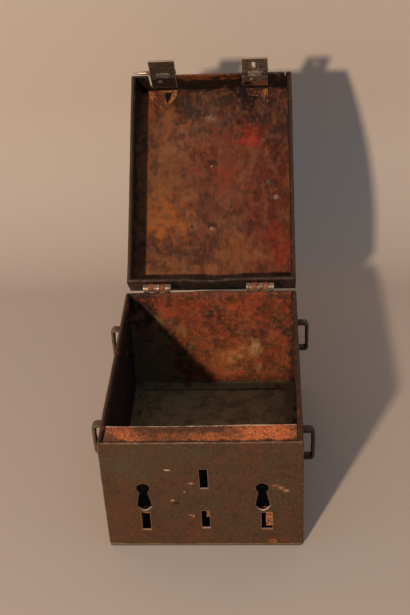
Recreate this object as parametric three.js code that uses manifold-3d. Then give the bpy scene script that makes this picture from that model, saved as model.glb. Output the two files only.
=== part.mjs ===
// Iron strongbox with its lid thrown back, two locks behind the front panel and two hasps on the lid.
// Millimetres. The origin is the centre of the underside, +X to the right seen from the front,
// +Y to the back, +Z up. The lid is drawn shut and then turned about its hinge pins.

import * as THREE from 'three';
import { mergeVertices } from 'three/addons/utils/BufferGeometryUtils.js';
import Module from 'manifold-3d';

const wasm = await Module();
wasm.setup();

// Body
const boxWidth = 150;
const boxDepth = 202;
const wallHeight = 104;
const sheet = 1.6;
const play = 0.3;
const past = 1;
const flangeWidth = 9;
const tabWidth = 8;
const hemWidth = 4.2;
const hemHeight = 7;
const floorCornerRadius = 3;

// Lock compartment along the front
const ledgeDepth = 22;
const ledgeDrop = 1.5;
const partitionLip = 7;

// Places across the box are shares of its width
const across = (share) => share * boxWidth;

// Openings of the front panel, heights from the ground
const keyX = across(0.2967);
const keyZ = 59.8;
const keyholeRadius = 5;
const keyholeNeck = 6.2;
const keyholeFoot = 11.4;
const keyholeFootHeight = 4.6;
const keyholeBottom = 37.1;
const leftSlot = { x: -keyX, width: 6.7, bottom: 16.8, top: 35.8 };
const rightSlot = { x: across(0.3153), width: 8.3, bottom: 17.6, top: 35.4 };
const upperSlot = { x: across(0.0067), width: 6.3, bottom: 59.4, top: 78.7 };
const lowerSlot = { x: across(0.0067), width: 6.3, bottom: 18.6, top: 37 };

// Rivets
const rivetRadius = 1.5;
const rivetHeadRadius = 2.8;
const rivetHeadHeight = 0.8;
const rivetSkin = 0.5;
const rivetSides = 10;
const pegPitch = across(0.3);

// Strap loops on the side walls
const loopReach = 9.4;
const loopHeight = 29;
const loopThickness = 3;
const loopWidth = 7.5;
const loopCorner = 2.4;
const loopBelowRim = 10;
const loopTenon = 2.4;
const loopTenonWidth = 5;
const loopPeenMargin = 1;
const rightLoopsFromEnds = { front: 28.3, rear: 34.3 };
const leftLoopsFromEnds = { front: 36.4, rear: 40.4 };

// Lid and its hinges
const lidHeight = 29;
const lidOpenAngle = 139;
const lidHemHeight = 6;
const hingePlaces = { left: across(-0.318), right: across(0.29) };
const hingeLength = 24;
const knuckleCount = 5;
const knuckleRadius = 3.75;
const hingePinRadius = 1.5;
const hingePinOverhang = 0.6;
const hingeOffset = 5.6;
const hingeLeafThickness = 1.8;
const hingeLeafStart = 6;
const hingeLeafEnd = 21;
const hingeRivetSpread = 7;

// Plug rivets in the lid
const plugPlaces = [
  [across(-0.0053), -71],
  [across(-0.0053), -18.9],
  [across(-0.0053), 42.6],
  [across(-0.128), 40.7],
  [across(0.35), -2.5],
  [across(0.392), 12.6],
];

// Hasps on the lid's front rim
const haspPlaces = { left: across(-0.3), right: across(0.2733) };
const haspWidth = 24;
const haspKnuckleRadius = 2.4;
const haspPinRadius = 1.1;
const haspMiddle = 12;
const haspLeafThickness = 1.2;
const haspLeafHeight = 20;
const haspStandOff = 0.5;
const haspPinOverhang = 0.5;
const haspRivet = { aside: -3, up: 8 };
const flapThickness = 1.6;
const flapLength = 22;
const flapLift = 5;
const flapSlotWidth = 3.2;
const flapSlotLength = 9.5;
const flapSlotFromEnd = 5;
const flapSlotAside = -1;
const spikeLength = 14;
const spikeRadius = 1.9;
const washerRadius = 2.7;
const washerThickness = 1.2;
const skirtSlit = { fromHasp: -13.8, width: 1.6, height: 20 };
const cornerSlit = { fromHem: 2.4, width: 1.6, height: 5 };

// Brackets in the lid: outlines across from the hasp's middle and back from its leaf
const bracketThickness = 1.8;
const fork = {
  outline: [[-17, 0], [12, 0], [10.5, 6], [5, 14], [1, 19], [-5, 18], [-11, 12], [-15, 6]],
  eye: [[-0.5, 1.5], [6.5, 1.5], [5, 8], [1.5, 14.5], [0.2, 9]],
  rivet: [-9, 6],
};
const hook = {
  outline: [[-9, 0], [12, 0], [12, 15], [9.5, 18], [6, 17], [3.5, 13], [2.5, 7.5], [-7, 6]],
  rivet: [8, 10],
};

// Bolts and what holds them
const boltGap = 0.4;
const boltThickness = 3;
const barBottom = 18;
const barTop = 35;
const innerTalon = { at: across(0.0867), width: 3 };
const outerTalon = { at: across(-0.1267), width: 2 };
const talonTop = 50;
const talonRoot = 4;
const talonDepth = 8;
const headShort = 2.4;
const rightBoltDrawn = 4.8;
const staplePassage = 13.5;
const leftArm = { bottom: 64, top: 77 };
const rightHead = { bottom: 27, top: barTop };
const guideSheet = 1.6;
const guideFoot = 6;
const guideStrapAt = { from: across(0.042), to: across(0.0767) };
const guideClipAt = { from: across(-0.0967), to: across(-0.058) };
const headGuideAt = { left: [across(-0.07), across(-0.032)], right: [across(0.0633), across(0.1013)] };
const springRoom = 1.6;
const springThickness = 0.8;
const springSpan = { from: across(0.0267), to: across(0.1133), bottom: 23, top: 29 };
const bridgeDepth = 15;
const bridgeSheet = 1.6;
const bridgeFeet = { inner: across(0.1867), outer: across(-0.1267), bottom: 53, top: 61 };
const bridgeFootLength = across(0.036);
const bridgeTop = 67;
const collar = { radius: 5.4, bore: 3.4, length: 4 };

// Worked out from the sizes above
const halfWidth = boxWidth / 2;
const frontY = -boxDepth / 2;
const rearY = boxDepth / 2;
const frontInner = frontY + sheet;
const rearInner = rearY - sheet;
const sideInner = halfWidth - sheet;
const hemInner = halfWidth - hemWidth;
const flangeTop = 2 * sheet;
const flangeInner = sideInner - flangeWidth;
const partitionBack = frontY + ledgeDepth;
const partitionFront = partitionBack - sheet;
const ledgeTop = wallHeight - ledgeDrop;
const ledgeUnder = ledgeTop - sheet;
const loopPlaces = ({ front, rear }) => ({ front: frontY + front, rear: rearY - rear });
const rightLoopPlaces = loopPlaces(rightLoopsFromEnds);
const leftLoopPlaces = loopPlaces(leftLoopsFromEnds);
const loopMiddle = wallHeight - loopBelowRim - loopHeight / 2;
const rimZ = wallHeight + play;
const lidPivot = new THREE.Vector3(0, rearY + hingeOffset, wallHeight + play / 2);
const haspAxisY = frontY - haspStandOff - haspKnuckleRadius;
const haspAxisZ = rimZ + haspLeafThickness / 2;
const guideBase = frontInner;
const boltFront = guideBase + guideSheet + boltGap;
const boltBack = boltFront + boltThickness;

const iron = {
  shell: 0x5a3c2a,
  inside: 0x7a4228,
  ledge: 0x8c4a2a,
  fitting: 0x4a4036,
  bright: 0x8a7a68,
  rusty: 0x96502a,
};

function material(color, roughness = 0.8, metalness = 0.55) {
  return new THREE.MeshStandardMaterial({ color, roughness, metalness });
}

// Solids: closed meshes that can be joined and cut

function toSolid(geometry) {
  const plain = geometry.clone();
  plain.deleteAttribute('normal');
  plain.deleteAttribute('uv');
  const merged = mergeVertices(plain, 1e-4);
  return new wasm.Manifold(new wasm.Mesh({
    numProp: 3,
    vertProperties: Float32Array.from(merged.attributes.position.array),
    triVerts: Uint32Array.from(merged.index.array),
  }));
}

function toGeometry(solid, pivot) {
  const mesh = solid.getMesh();
  const geometry = new THREE.BufferGeometry();
  geometry.setAttribute('position', new THREE.BufferAttribute(mesh.vertProperties, 3));
  geometry.setIndex(new THREE.BufferAttribute(mesh.triVerts, 1));
  geometry.translate(-pivot.x, -pivot.y, -pivot.z);
  geometry.computeVertexNormals();
  return geometry;
}

function join(solids) {
  return solids.reduce((whole, next) => whole.add(next));
}

function cut(solid, tools) {
  return tools.reduce((whole, tool) => whole.subtract(tool), solid);
}

function block([x0, x1], [y0, y1], [z0, z1]) {
  const geometry = new THREE.BoxGeometry(x1 - x0, y1 - y0, z1 - z0);
  geometry.translate((x0 + x1) / 2, (y0 + y1) / 2, (z0 + z1) / 2);
  return toSolid(geometry);
}

function rodX(radius, [x0, x1], y, z, sides = 16) {
  const geometry = new THREE.CylinderGeometry(radius, radius, x1 - x0, sides);
  geometry.rotateZ(Math.PI / 2);
  geometry.translate((x0 + x1) / 2, y, z);
  return toSolid(geometry);
}

function rodY(radius, [y0, y1], x, z, sides = 16) {
  const geometry = new THREE.CylinderGeometry(radius, radius, y1 - y0, sides);
  geometry.translate(x, (y0 + y1) / 2, z);
  return toSolid(geometry);
}

function extrude(shape, depth, curveSegments) {
  return new THREE.ExtrudeGeometry(shape, { depth, bevelEnabled: false, curveSegments });
}

// An outline drawn in X and Z, given a thickness along Y
function plateXZ(shape, [y0, y1]) {
  const geometry = extrude(shape, y1 - y0, 6);
  geometry.rotateX(Math.PI / 2);
  geometry.translate(0, y1, 0);
  return toSolid(geometry);
}

// An outline drawn in X and Y, given a thickness along Z
function plateXY(shape, [z0, z1]) {
  const geometry = extrude(shape, z1 - z0, 6);
  geometry.translate(0, 0, z0);
  return toSolid(geometry);
}

// Rivets: a shank with a low head at each end, set inward from a point on the outer face

const rivetTurns = {
  'y+': (geometry) => geometry,
  'y-': (geometry) => geometry.rotateZ(Math.PI),
  'z-': (geometry) => geometry.rotateX(-Math.PI / 2),
};

function rivet({ at, along, grip }) {
  const far = grip + play;
  const profile = [
    [0, -play - rivetHeadHeight],
    [rivetHeadRadius, -play],
    [rivetRadius, -play],
    [rivetRadius, far],
    [rivetHeadRadius, far],
    [0, far + rivetHeadHeight],
  ];
  const geometry = new THREE.LatheGeometry(profile.map(([r, s]) => new THREE.Vector2(r, s)), rivetSides);
  rivetTurns[along](geometry);
  geometry.translate(...at);
  return toSolid(geometry);
}

function rivetHole({ at, along, grip }) {
  const radius = rivetRadius + play;
  const geometry = new THREE.CylinderGeometry(radius, radius, grip + 2 * past, rivetSides);
  geometry.translate(0, grip / 2, 0);
  rivetTurns[along](geometry);
  geometry.translate(...at);
  return toSolid(geometry);
}

const holes = (specs) => specs.map(rivetHole);
const sides = [-1, 1];

// Studs: short pegs in one piece with what they hold, in blind holes of the front panel

function stud([x, z]) {
  return rodY(rivetRadius, [frontY + rivetSkin + play, guideBase + guideSheet / 2], x, z, rivetSides);
}

function studHole([x, z]) {
  return rodY(rivetRadius + play, [frontY + rivetSkin, frontInner + past], x, z, rivetSides);
}

// The partition's lip has three pegs that are filed flush with the ledge
const pegPlaces = [-pegPitch, 0, pegPitch].map((x) => [x, partitionFront - partitionLip / 2]);

function peg([x, y], radius, [z0, z1]) {
  const geometry = new THREE.CylinderGeometry(radius, radius, z1 - z0, rivetSides);
  geometry.rotateX(Math.PI / 2);
  geometry.translate(x, y, (z0 + z1) / 2);
  return toSolid(geometry);
}

// Sheets of the body

function roundedRectangle(x0, x1, y0, y1, radius) {
  const shape = new THREE.Shape();
  shape.moveTo(x0 + radius, y0);
  shape.lineTo(x1 - radius, y0);
  shape.absarc(x1 - radius, y0 + radius, radius, -Math.PI / 2, 0);
  shape.lineTo(x1, y1 - radius);
  shape.absarc(x1 - radius, y1 - radius, radius, 0, Math.PI / 2);
  shape.lineTo(x0 + radius, y1);
  shape.absarc(x0 + radius, y1 - radius, radius, Math.PI / 2, Math.PI);
  shape.lineTo(x0, y0 + radius);
  shape.absarc(x0 + radius, y0 + radius, radius, Math.PI, Math.PI * 1.5);
  return shape;
}

function floorPlate() {
  const outline = roundedRectangle(-halfWidth, halfWidth, frontY, rearY, floorCornerRadius);
  return plateXY(outline, [0, sheet]);
}

function keyholeShape(x) {
  const shape = new THREE.Shape();
  const neckTop = keyZ - Math.sqrt(keyholeRadius ** 2 - (keyholeNeck / 2) ** 2);
  const start = Math.atan2(neckTop - keyZ, keyholeNeck / 2);
  const footTop = keyholeBottom + keyholeFootHeight;
  shape.moveTo(x + keyholeNeck / 2, neckTop);
  shape.absarc(x, keyZ, keyholeRadius, start, Math.PI - start);
  shape.lineTo(x - keyholeFoot / 2, footTop);
  shape.quadraticCurveTo(x, 2 * keyholeBottom - footTop, x + keyholeFoot / 2, footTop);
  return shape;
}

function slotTool({ x, width, bottom, top }) {
  return block([x - width / 2, x + width / 2], [frontY - past, frontInner + past], [bottom, top]);
}

function frontPanel() {
  const panel = block([-halfWidth, halfWidth], [frontY, frontInner], [sheet, wallHeight]);
  const flangeSide = flangeInner - play;
  const flange = block([-flangeSide, flangeSide], [frontY, frontInner + flangeWidth], [sheet, flangeTop]);
  const through = [frontY - past, frontInner + past];
  const keyholes = sides.map((side) => plateXZ(keyholeShape(side * keyX), through));
  const slots = [leftSlot, rightSlot, upperSlot, lowerSlot].map(slotTool);
  return cut(join([panel, flange]), [...keyholes, ...slots, ...lockStuds().map(studHole)]);
}

function rearWall() {
  const wall = block([-halfWidth, halfWidth], [rearInner, rearY], [sheet, wallHeight]);
  const flangeSide = flangeInner - play;
  const flange = block([-flangeSide, flangeSide], [rearInner - flangeWidth, rearY], [sheet, flangeTop]);
  const hemSide = hemInner - play;
  const hem = block([-hemSide, hemSide], [rearY - hemWidth, rearY], [wallHeight - hemHeight, wallHeight]);
  return cut(join([wall, flange, hem]), holes(hingeRivets('base')));
}

// A side wall is one sheet, its edges folded in: a flange below, a hem above, a tab at each end
function sideWall(side, places) {
  const from = (inner) => (side > 0 ? [inner, halfWidth] : [-halfWidth, -inner]);
  const length = [frontInner, rearInner];
  const hemBottom = wallHeight - hemHeight;
  const tabInner = sideInner - tabWidth;
  const wall = block(from(sideInner), length, [sheet, wallHeight]);
  const flange = block(from(flangeInner), length, [sheet, flangeTop]);
  const hem = block(from(hemInner), length, [hemBottom, wallHeight]);
  const frontTab = block(from(tabInner), [frontInner, frontInner + sheet], [sheet, ledgeUnder]);
  const rearTab = block(from(tabInner), [rearInner - sheet, rearInner], [sheet, hemBottom - play]);
  const legHoles = Object.values(places).flatMap((y) => (
    loopLegHeights().map((z) => loopHole(side, y, z))));
  return cut(join([wall, flange, hem, frontTab, rearTab]), legHoles);
}

function lockPartition() {
  const wide = sideInner - play;
  const underHem = wallHeight - hemHeight - play;
  const narrow = hemInner - play;
  const between = flangeInner - play;
  const plane = [partitionFront, partitionBack];
  const footPlane = [partitionFront - flangeWidth, partitionBack];
  const lipPlane = [partitionFront - partitionLip, partitionBack];
  const lipBottom = ledgeUnder - sheet;
  return join([
    block([-wide, wide], plane, [flangeTop + play, underHem]),
    block([-narrow, narrow], plane, [underHem - past, ledgeUnder]),
    block([-between, between], plane, [sheet, flangeTop + past]),
    block([-between, between], footPlane, [sheet, flangeTop]),
    block([-narrow, narrow], lipPlane, [lipBottom, ledgeUnder]),
    ...pegPlaces.map((place) => peg(place, rivetRadius, [lipBottom, ledgeTop])),
  ]);
}

function lockLedge() {
  const reach = hemInner - play;
  const plate = block([-reach, reach], [frontInner, partitionBack], [ledgeUnder, ledgeTop]);
  const through = [ledgeUnder - past, ledgeTop + past];
  return cut(plate, pegPlaces.map((place) => peg(place, rivetRadius + play, through)));
}

// Strap loops: a U of flat bar, each leg stepped down to a tenon that is peened inside the wall

const loopLegHeights = () => sides.map((end) => loopMiddle + end * (loopHeight - loopThickness) / 2);
const sidewards = (side, from, to) => (side > 0 ? [from, to] : [-to, -from]);

function loopHole(side, y, z) {
  const half = loopTenon / 2 + play;
  const wide = loopTenonWidth / 2 + play;
  const through = sidewards(side, sideInner - past, halfWidth + past);
  return block(through, [y - wide, y + wide], [z - half, z + half]);
}

function loopShape() {
  const half = loopHeight / 2;
  const inner = half - loopThickness;
  const outerCorner = loopCorner + loopThickness / 2;
  const gap = loopReach - loopThickness;
  const shape = new THREE.Shape();
  shape.moveTo(0, -half);
  shape.lineTo(loopReach - outerCorner, -half);
  shape.absarc(loopReach - outerCorner, outerCorner - half, outerCorner, -Math.PI / 2, 0);
  shape.lineTo(loopReach, half - outerCorner);
  shape.absarc(loopReach - outerCorner, half - outerCorner, outerCorner, 0, Math.PI / 2);
  shape.lineTo(0, half);
  shape.lineTo(0, inner);
  shape.lineTo(gap - loopCorner, inner);
  shape.absarc(gap - loopCorner, inner - loopCorner, loopCorner, Math.PI / 2, 0, true);
  shape.lineTo(gap, loopCorner - inner);
  shape.absarc(gap - loopCorner, loopCorner - inner, loopCorner, 0, -Math.PI / 2, true);
  shape.lineTo(0, -inner);
  return shape;
}

function strapLoop(side, y) {
  const geometry = extrude(loopShape(), loopWidth, 4);
  geometry.rotateX(Math.PI / 2);
  geometry.translate(0, loopWidth / 2, 0);
  if (side < 0) geometry.rotateZ(Math.PI);
  geometry.translate(side * halfWidth, y, loopMiddle);
  const headFace = sideInner - play;
  const tip = headFace - rivetHeadHeight;
  const half = loopTenon / 2;
  const wide = loopTenonWidth / 2;
  const headWide = wide + loopPeenMargin;
  const headHalf = half + loopPeenMargin;
  const tenons = loopLegHeights().flatMap((z) => [
    block(sidewards(side, tip, halfWidth + past), [y - wide, y + wide], [z - half, z + half]),
    block(sidewards(side, tip, headFace), [y - headWide, y + headWide], [z - headHalf, z + headHalf]),
  ]);
  return join([toSolid(geometry), ...tenons]);
}

// Hinges: five knuckles, three on the body's leaf and two on the lid's

const knuckleSpan = hingeLength / knuckleCount;

function knuckleRange(centre, index) {
  const start = centre - hingeLength / 2 + index * knuckleSpan;
  return [start + play / 2, start + knuckleSpan - play / 2];
}

const ordered = (a, b) => [Math.min(a, b), Math.max(a, b)];
const hingeRod = (radius, range, facets) => rodX(radius, range, lidPivot.y, lidPivot.z, facets);

// way is -1 for the leaf that goes down the wall and 1 for the leaf that goes up the lid
function hingeLeaf(centre, way, knuckles, clearance) {
  const inner = rearY + clearance;
  const level = (a, b) => ordered(lidPivot.z + way * a, lidPivot.z + way * b);
  const leaf = block(
    [centre - hingeLength / 2, centre + hingeLength / 2],
    [inner, inner + hingeLeafThickness],
    level(hingeLeafStart, hingeLeafEnd),
  );
  const arms = knuckles.map((index) => block(
    knuckleRange(centre, index),
    [inner, rearY + hingeOffset - hingePinRadius - play],
    level(play, hingeLeafStart + past),
  ));
  const barrels = knuckles.map((index) => hingeRod(knuckleRadius, knuckleRange(centre, index), 16));
  const bore = hingeRod(hingePinRadius + play, [centre - hingeLength, centre + hingeLength], 12);
  return cut(join([leaf, ...arms, ...barrels]), [bore]);
}

function hingePin(centre) {
  const half = hingeLength / 2 + hingePinOverhang;
  return hingeRod(hingePinRadius, [centre - half, centre + half], 12);
}

function hingeRivets(part) {
  const way = part === 'base' ? -1 : 1;
  const clearance = part === 'base' ? 0 : play;
  const z = lidPivot.z + way * (hingeLeafStart + hingeLeafEnd) / 2;
  return Object.values(hingePlaces).flatMap((centre) => sides.map((end) => ({
    at: [centre + end * hingeRivetSpread, rearY + clearance + hingeLeafThickness, z],
    along: 'y-',
    grip: hingeLeafThickness + clearance + sheet,
  })));
}

const baseLeaf = (centre) => cut(hingeLeaf(centre, -1, [0, 2, 4], 0), holes(hingeRivets('base')));
const lidLeaf = (centre) => cut(hingeLeaf(centre, 1, [1, 3], play), holes(hingeRivets('lid')));

// Lid: one sheet with four skirts folded down, three of them hemmed

const lidTopZ = rimZ + lidHeight;
const lidInnerZ = lidTopZ - sheet;
const plugRivets = plugPlaces.map(([x, y]) => ({ at: [x, y, lidTopZ], along: 'z-', grip: sheet }));

function lidShell() {
  const outer = block([-halfWidth, halfWidth], [frontY, rearY], [rimZ, lidTopZ]);
  const hollow = block([-sideInner, sideInner], [frontInner, rearInner], [rimZ - past, lidInnerZ]);
  const hemZ = [rimZ, rimZ + lidHemHeight];
  const hems = [
    block([-halfWidth, -hemInner], [frontY, rearY], hemZ),
    block([hemInner, halfWidth], [frontY, rearY], hemZ),
    block([-halfWidth, halfWidth], [rearY - hemWidth, rearY], hemZ),
  ];
  const through = [frontY - past, frontInner + past];
  const slit = (x, { width, height }) => block([x, x + width], through, [rimZ - past, rimZ + height]);
  const slits = [
    slit(haspPlaces.left + skirtSlit.fromHasp, skirtSlit),
    slit(hemInner - cornerSlit.fromHem, cornerSlit),
  ];
  const tongueHalf = haspMiddle / 2 + play;
  const tongueZ = [rimZ - past, rimZ + haspLeafThickness + play];
  const tongues = Object.values(haspPlaces).map((x) => (
    block([x - tongueHalf, x + tongueHalf], through, tongueZ)));
  const rivets = holes([...plugRivets, ...haspRivets, ...bracketRivets, ...hingeRivets('lid')]);
  return cut(join([outer.subtract(hollow), ...hems]), [...slits, ...tongues, ...rivets]);
}

// Hasps: a leaf inside the skirt, its tongue through the rim to a knuckle outside, and a flap on a pin

const haspRivets = Object.values(haspPlaces).map((x) => ({
  at: [x + haspRivet.aside, frontY, rimZ + haspRivet.up],
  along: 'y+',
  grip: sheet + play + haspLeafThickness,
}));

const haspRod = (radius, range, facets) => rodX(radius, range, haspAxisY, haspAxisZ, facets);
const haspBore = (x) => haspRod(haspPinRadius + play, [x - haspWidth, x + haspWidth], 10);

function haspLeaf(centre) {
  const inner = frontInner + play;
  const back = inner + haspLeafThickness;
  const tongueX = [centre - haspMiddle / 2, centre + haspMiddle / 2];
  const knuckleX = [tongueX[0] + play / 2, tongueX[1] - play / 2];
  return cut(join([
    block([centre - haspWidth / 2, centre + haspWidth / 2], [inner, back], [rimZ, rimZ + haspLeafHeight]),
    block(tongueX, [frontY - haspStandOff / 2, back], [rimZ, rimZ + haspLeafThickness]),
    block(knuckleX, [haspAxisY, frontY], [rimZ, rimZ + haspLeafThickness]),
    haspRod(haspKnuckleRadius, knuckleX, 16),
  ]), [haspBore(centre), ...holes(haspRivets)]);
}

function haspFlap(centre, slotted) {
  const plane = [frontY - haspStandOff - flapThickness, frontY - haspStandOff];
  const edge = haspWidth / 2;
  const gap = haspMiddle / 2 + play / 2;
  const shoulder = haspAxisZ - haspKnuckleRadius - play;
  const ears = [[centre - edge, centre - gap], [centre + gap, centre + edge]];
  const plate = block([centre - edge, centre + edge], plane, [haspAxisZ - flapLength, shoulder]);
  const arms = ears.map((range) => block(range, plane, [shoulder - past, haspAxisZ]));
  const barrels = ears.map((range) => haspRod(haspKnuckleRadius, range, 16));
  const tools = [haspBore(centre)];
  if (slotted) {
    const low = haspAxisZ - flapLength + flapSlotFromEnd;
    const x0 = centre + flapSlotAside - flapSlotWidth / 2;
    const corner = flapSlotWidth / 2 - 0.05;
    const outline = roundedRectangle(x0, x0 + flapSlotWidth, low, low + flapSlotLength, corner);
    tools.push(plateXZ(outline, [plane[0] - past, plane[1] + past]));
  }
  return cut(join([plate, ...arms, ...barrels]), tools);
}

function plainHaspPin(centre) {
  const half = haspWidth / 2 + haspPinOverhang;
  return haspRod(haspPinRadius, [centre - half, centre + half], 10);
}

// The left hasp turns on a nail whose long point sticks out to the left
function nailPin(centre) {
  const shank = haspWidth + washerThickness + 2 * play;
  const profile = [
    [0, 0],
    [haspPinRadius, 0],
    [haspPinRadius, shank],
    [spikeRadius, shank + play],
    [spikeRadius, shank + spikeLength * 0.25],
    [spikeRadius * 0.7, shank + spikeLength * 0.65],
    [0, shank + spikeLength],
  ];
  const geometry = new THREE.LatheGeometry(profile.map(([r, s]) => new THREE.Vector2(r, s)), 12);
  geometry.rotateZ(Math.PI / 2);
  geometry.translate(centre + haspWidth / 2, haspAxisY, haspAxisZ);
  return toSolid(geometry);
}

function nailWasher(centre) {
  const outer = centre - haspWidth / 2 - play;
  const range = [outer - washerThickness, outer];
  return cut(haspRod(washerRadius, range, 16), [haspBore(centre - haspWidth / 2)]);
}

// Brackets on the inside of the lid, behind the hasps

const bracketZ = [lidInnerZ - play - bracketThickness, lidInnerZ - play];
const bracketFront = frontInner + play + haspLeafThickness + play;
const bracketRivet = (centre, [x, y]) => ({
  at: [centre + x, bracketFront + y, lidTopZ],
  along: 'z-',
  grip: sheet + play + bracketThickness,
});
const bracketRivets = [
  bracketRivet(haspPlaces.left, fork.rivet),
  bracketRivet(haspPlaces.right, hook.rivet),
];

function bracketOutline(centre, points) {
  return new THREE.Shape(points.map(([x, y]) => new THREE.Vector2(centre + x, bracketFront + y)));
}

function forkBracket(centre) {
  const eye = plateXY(bracketOutline(centre, fork.eye), [bracketZ[0] - past, bracketZ[1] + past]);
  return cut(plateXY(bracketOutline(centre, fork.outline), bracketZ), [eye, ...holes(bracketRivets)]);
}

function hookBracket(centre) {
  return cut(plateXY(bracketOutline(centre, hook.outline), bracketZ), holes(bracketRivets));
}

// Locks: each key drives one bolt whose two heads close two of the front slots.
// inward is the way from the keyhole to the middle of the box.

const locks = {
  left: { x: -keyX, inward: 1 },
  right: { x: keyX, inward: -1 },
};

const spanX = (lock, from, to) => ordered(lock.x + lock.inward * from, lock.x + lock.inward * to);
const boltPlane = [boltFront, boltBack];
const talonPlane = [boltFront, boltFront + talonDepth];
const talonZ = [barTop - talonRoot, talonTop];

// The notch in a bolt that a staple's end passes when the bolt is drawn back
function stapleNotch(slot, shift) {
  const x = slot.x + shift;
  const range = [x - slot.width / 2, x + slot.width / 2];
  return block(range, [boltFront - past, boltBack + past], [barBottom - past, barBottom + staplePassage]);
}

// Drawn back: its notch stands behind the left slot and its arm ends short of the upper slot
function leftBolt() {
  const lock = locks.left;
  const riserX = spanX(lock, innerTalon.at, innerTalon.at + innerTalon.width);
  const outerX = spanX(lock, outerTalon.at, outerTalon.at + outerTalon.width);
  const armEnd = upperSlot.x - upperSlot.width / 2 - headShort;
  return cut(join([
    block([outerX[0], riserX[1]], boltPlane, [barBottom, barTop]),
    block(riserX, boltPlane, [barTop - past, leftArm.top]),
    block([riserX[0], armEnd], boltPlane, [leftArm.bottom, leftArm.top]),
    block(riserX, talonPlane, talonZ),
    block(outerX, talonPlane, talonZ),
  ]), [stapleNotch(leftSlot, 0)]);
}

// Half thrown: its edge shows in the right slot and its head in the lower middle slot
function rightBolt() {
  const shift = -rightBoltDrawn;
  const lock = { x: locks.right.x + shift, inward: locks.right.inward };
  const innerX = spanX(lock, innerTalon.at, innerTalon.at + innerTalon.width);
  const outerX = spanX(lock, outerTalon.at, outerTalon.at + outerTalon.width);
  const headEnd = lowerSlot.x + lowerSlot.width / 2 + headShort + shift;
  return cut(join([
    block([innerX[0], outerX[1]], boltPlane, [barBottom, barTop]),
    block([headEnd, innerX[0] + past], boltPlane, [rightHead.bottom, rightHead.top]),
    block(innerX, talonPlane, talonZ),
    block(outerX, talonPlane, talonZ),
  ]), [stapleNotch(rightSlot, shift)]);
}

const footPlane = [guideBase, guideBase + guideSheet];

// A strap that crosses a bolt between two feet on the panel, with room behind the bolt for a spring
function guideStrap(range, bottom, top, room) {
  const low = bottom - play;
  const high = top + play;
  const back = boltBack + play + room;
  const whole = [guideBase, back + guideSheet];
  return join([
    block(range, footPlane, [high, high + guideSheet + guideFoot]),
    block(range, whole, [high, high + guideSheet]),
    block(range, [back, back + guideSheet], [low - guideSheet, high + guideSheet]),
    block(range, whole, [low - guideSheet, low]),
    block(range, footPlane, [low - guideSheet - guideFoot, low]),
    ...strapStuds(range, bottom, top).map(stud),
  ]);
}

// A clip under the bar's outer end, hooked up behind it
function guideClip(range) {
  const low = barBottom - play;
  const back = boltBack + play;
  return join([
    block(range, [back, back + guideSheet], [low - guideSheet, barBottom + guideFoot]),
    block(range, [guideBase, back + guideSheet], [low - guideSheet, low]),
    block(range, footPlane, [low - guideSheet - guideFoot, low]),
    ...clipStuds(range).map(stud),
  ]);
}

const footAbove = (top) => top + play + guideSheet + guideFoot / 2;
const footBelow = (bottom) => bottom - play - guideSheet - guideFoot / 2;
const middleOf = ([a, b]) => (a + b) / 2;

const strapRange = (lock) => spanX(lock, guideStrapAt.from, guideStrapAt.to);
const clipRange = (lock) => spanX(lock, guideClipAt.from, guideClipAt.to);
const headGuides = {
  left: { range: headGuideAt.left, bottom: leftArm.bottom, top: leftArm.top },
  right: { range: headGuideAt.right, bottom: rightHead.bottom, top: rightHead.top },
};

const strapStuds = (range, bottom, top) => [
  [middleOf(range), footAbove(top)],
  [middleOf(range), footBelow(bottom)],
];
const clipStuds = (range) => [[middleOf(range), footBelow(barBottom)]];
const bridgeStuds = (lock) => [bridgeFeet.inner, bridgeFeet.outer + bridgeSheet].map((start) => [
  middleOf(spanX(lock, start, start + bridgeFootLength)),
  middleOf([bridgeFeet.bottom, bridgeFeet.top]),
]);

function lockStuds() {
  return Object.entries(locks).flatMap(([name, lock]) => {
    const head = headGuides[name];
    return [
      ...strapStuds(strapRange(lock), barBottom, barTop),
      ...clipStuds(clipRange(lock)),
      ...strapStuds(head.range, head.bottom, head.top),
      ...bridgeStuds(lock),
    ];
  });
}

// The bridge stands off behind the keyhole and steadies the key's tip in a short collar
function lockBridge(lock) {
  const back = guideBase + bridgeDepth;
  const { inner, outer, bottom, top } = bridgeFeet;
  const legs = [guideBase, back + bridgeSheet];
  return cut(join([
    block(spanX(lock, outer, inner), [back, back + bridgeSheet], [bottom, bridgeTop]),
    block(spanX(lock, inner - bridgeSheet, inner), legs, [bottom, top]),
    block(spanX(lock, outer, outer + bridgeSheet), legs, [bottom, top]),
    block(spanX(lock, inner - bridgeSheet, inner + bridgeFootLength), footPlane, [bottom, top]),
    block(spanX(lock, outer, outer + bridgeSheet + bridgeFootLength), footPlane, [bottom, top]),
    rodY(collar.radius, [back - collar.length, back + past], lock.x, keyZ),
    ...bridgeStuds(lock).map(stud),
  ]), [rodY(collar.bore, [back - collar.length - past, back + bridgeSheet + past], lock.x, keyZ)]);
}

// A bowed leaf between the strap and the bolt
function boltSpring(lock) {
  const [x0, x1] = spanX(lock, springSpan.from, springSpan.to);
  const middle = (x0 + x1) / 2;
  const front = boltBack + play;
  const rise = springRoom - springThickness - play;
  const shape = new THREE.Shape();
  shape.moveTo(x0, front);
  shape.quadraticCurveTo(middle, front + 2 * rise, x1, front);
  shape.lineTo(x1, front + springThickness);
  shape.quadraticCurveTo(middle, front + springThickness + 2 * rise, x0, front + springThickness);
  return plateXY(shape, [springSpan.bottom, springSpan.top]);
}

// Assembly

function hinged(pivot, degrees, parentPivot = new THREE.Vector3()) {
  const group = new THREE.Group();
  group.position.copy(pivot).sub(parentPivot);
  group.rotation.x = -THREE.MathUtils.degToRad(degrees);
  group.userData.pivot = pivot;
  return group;
}

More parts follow.
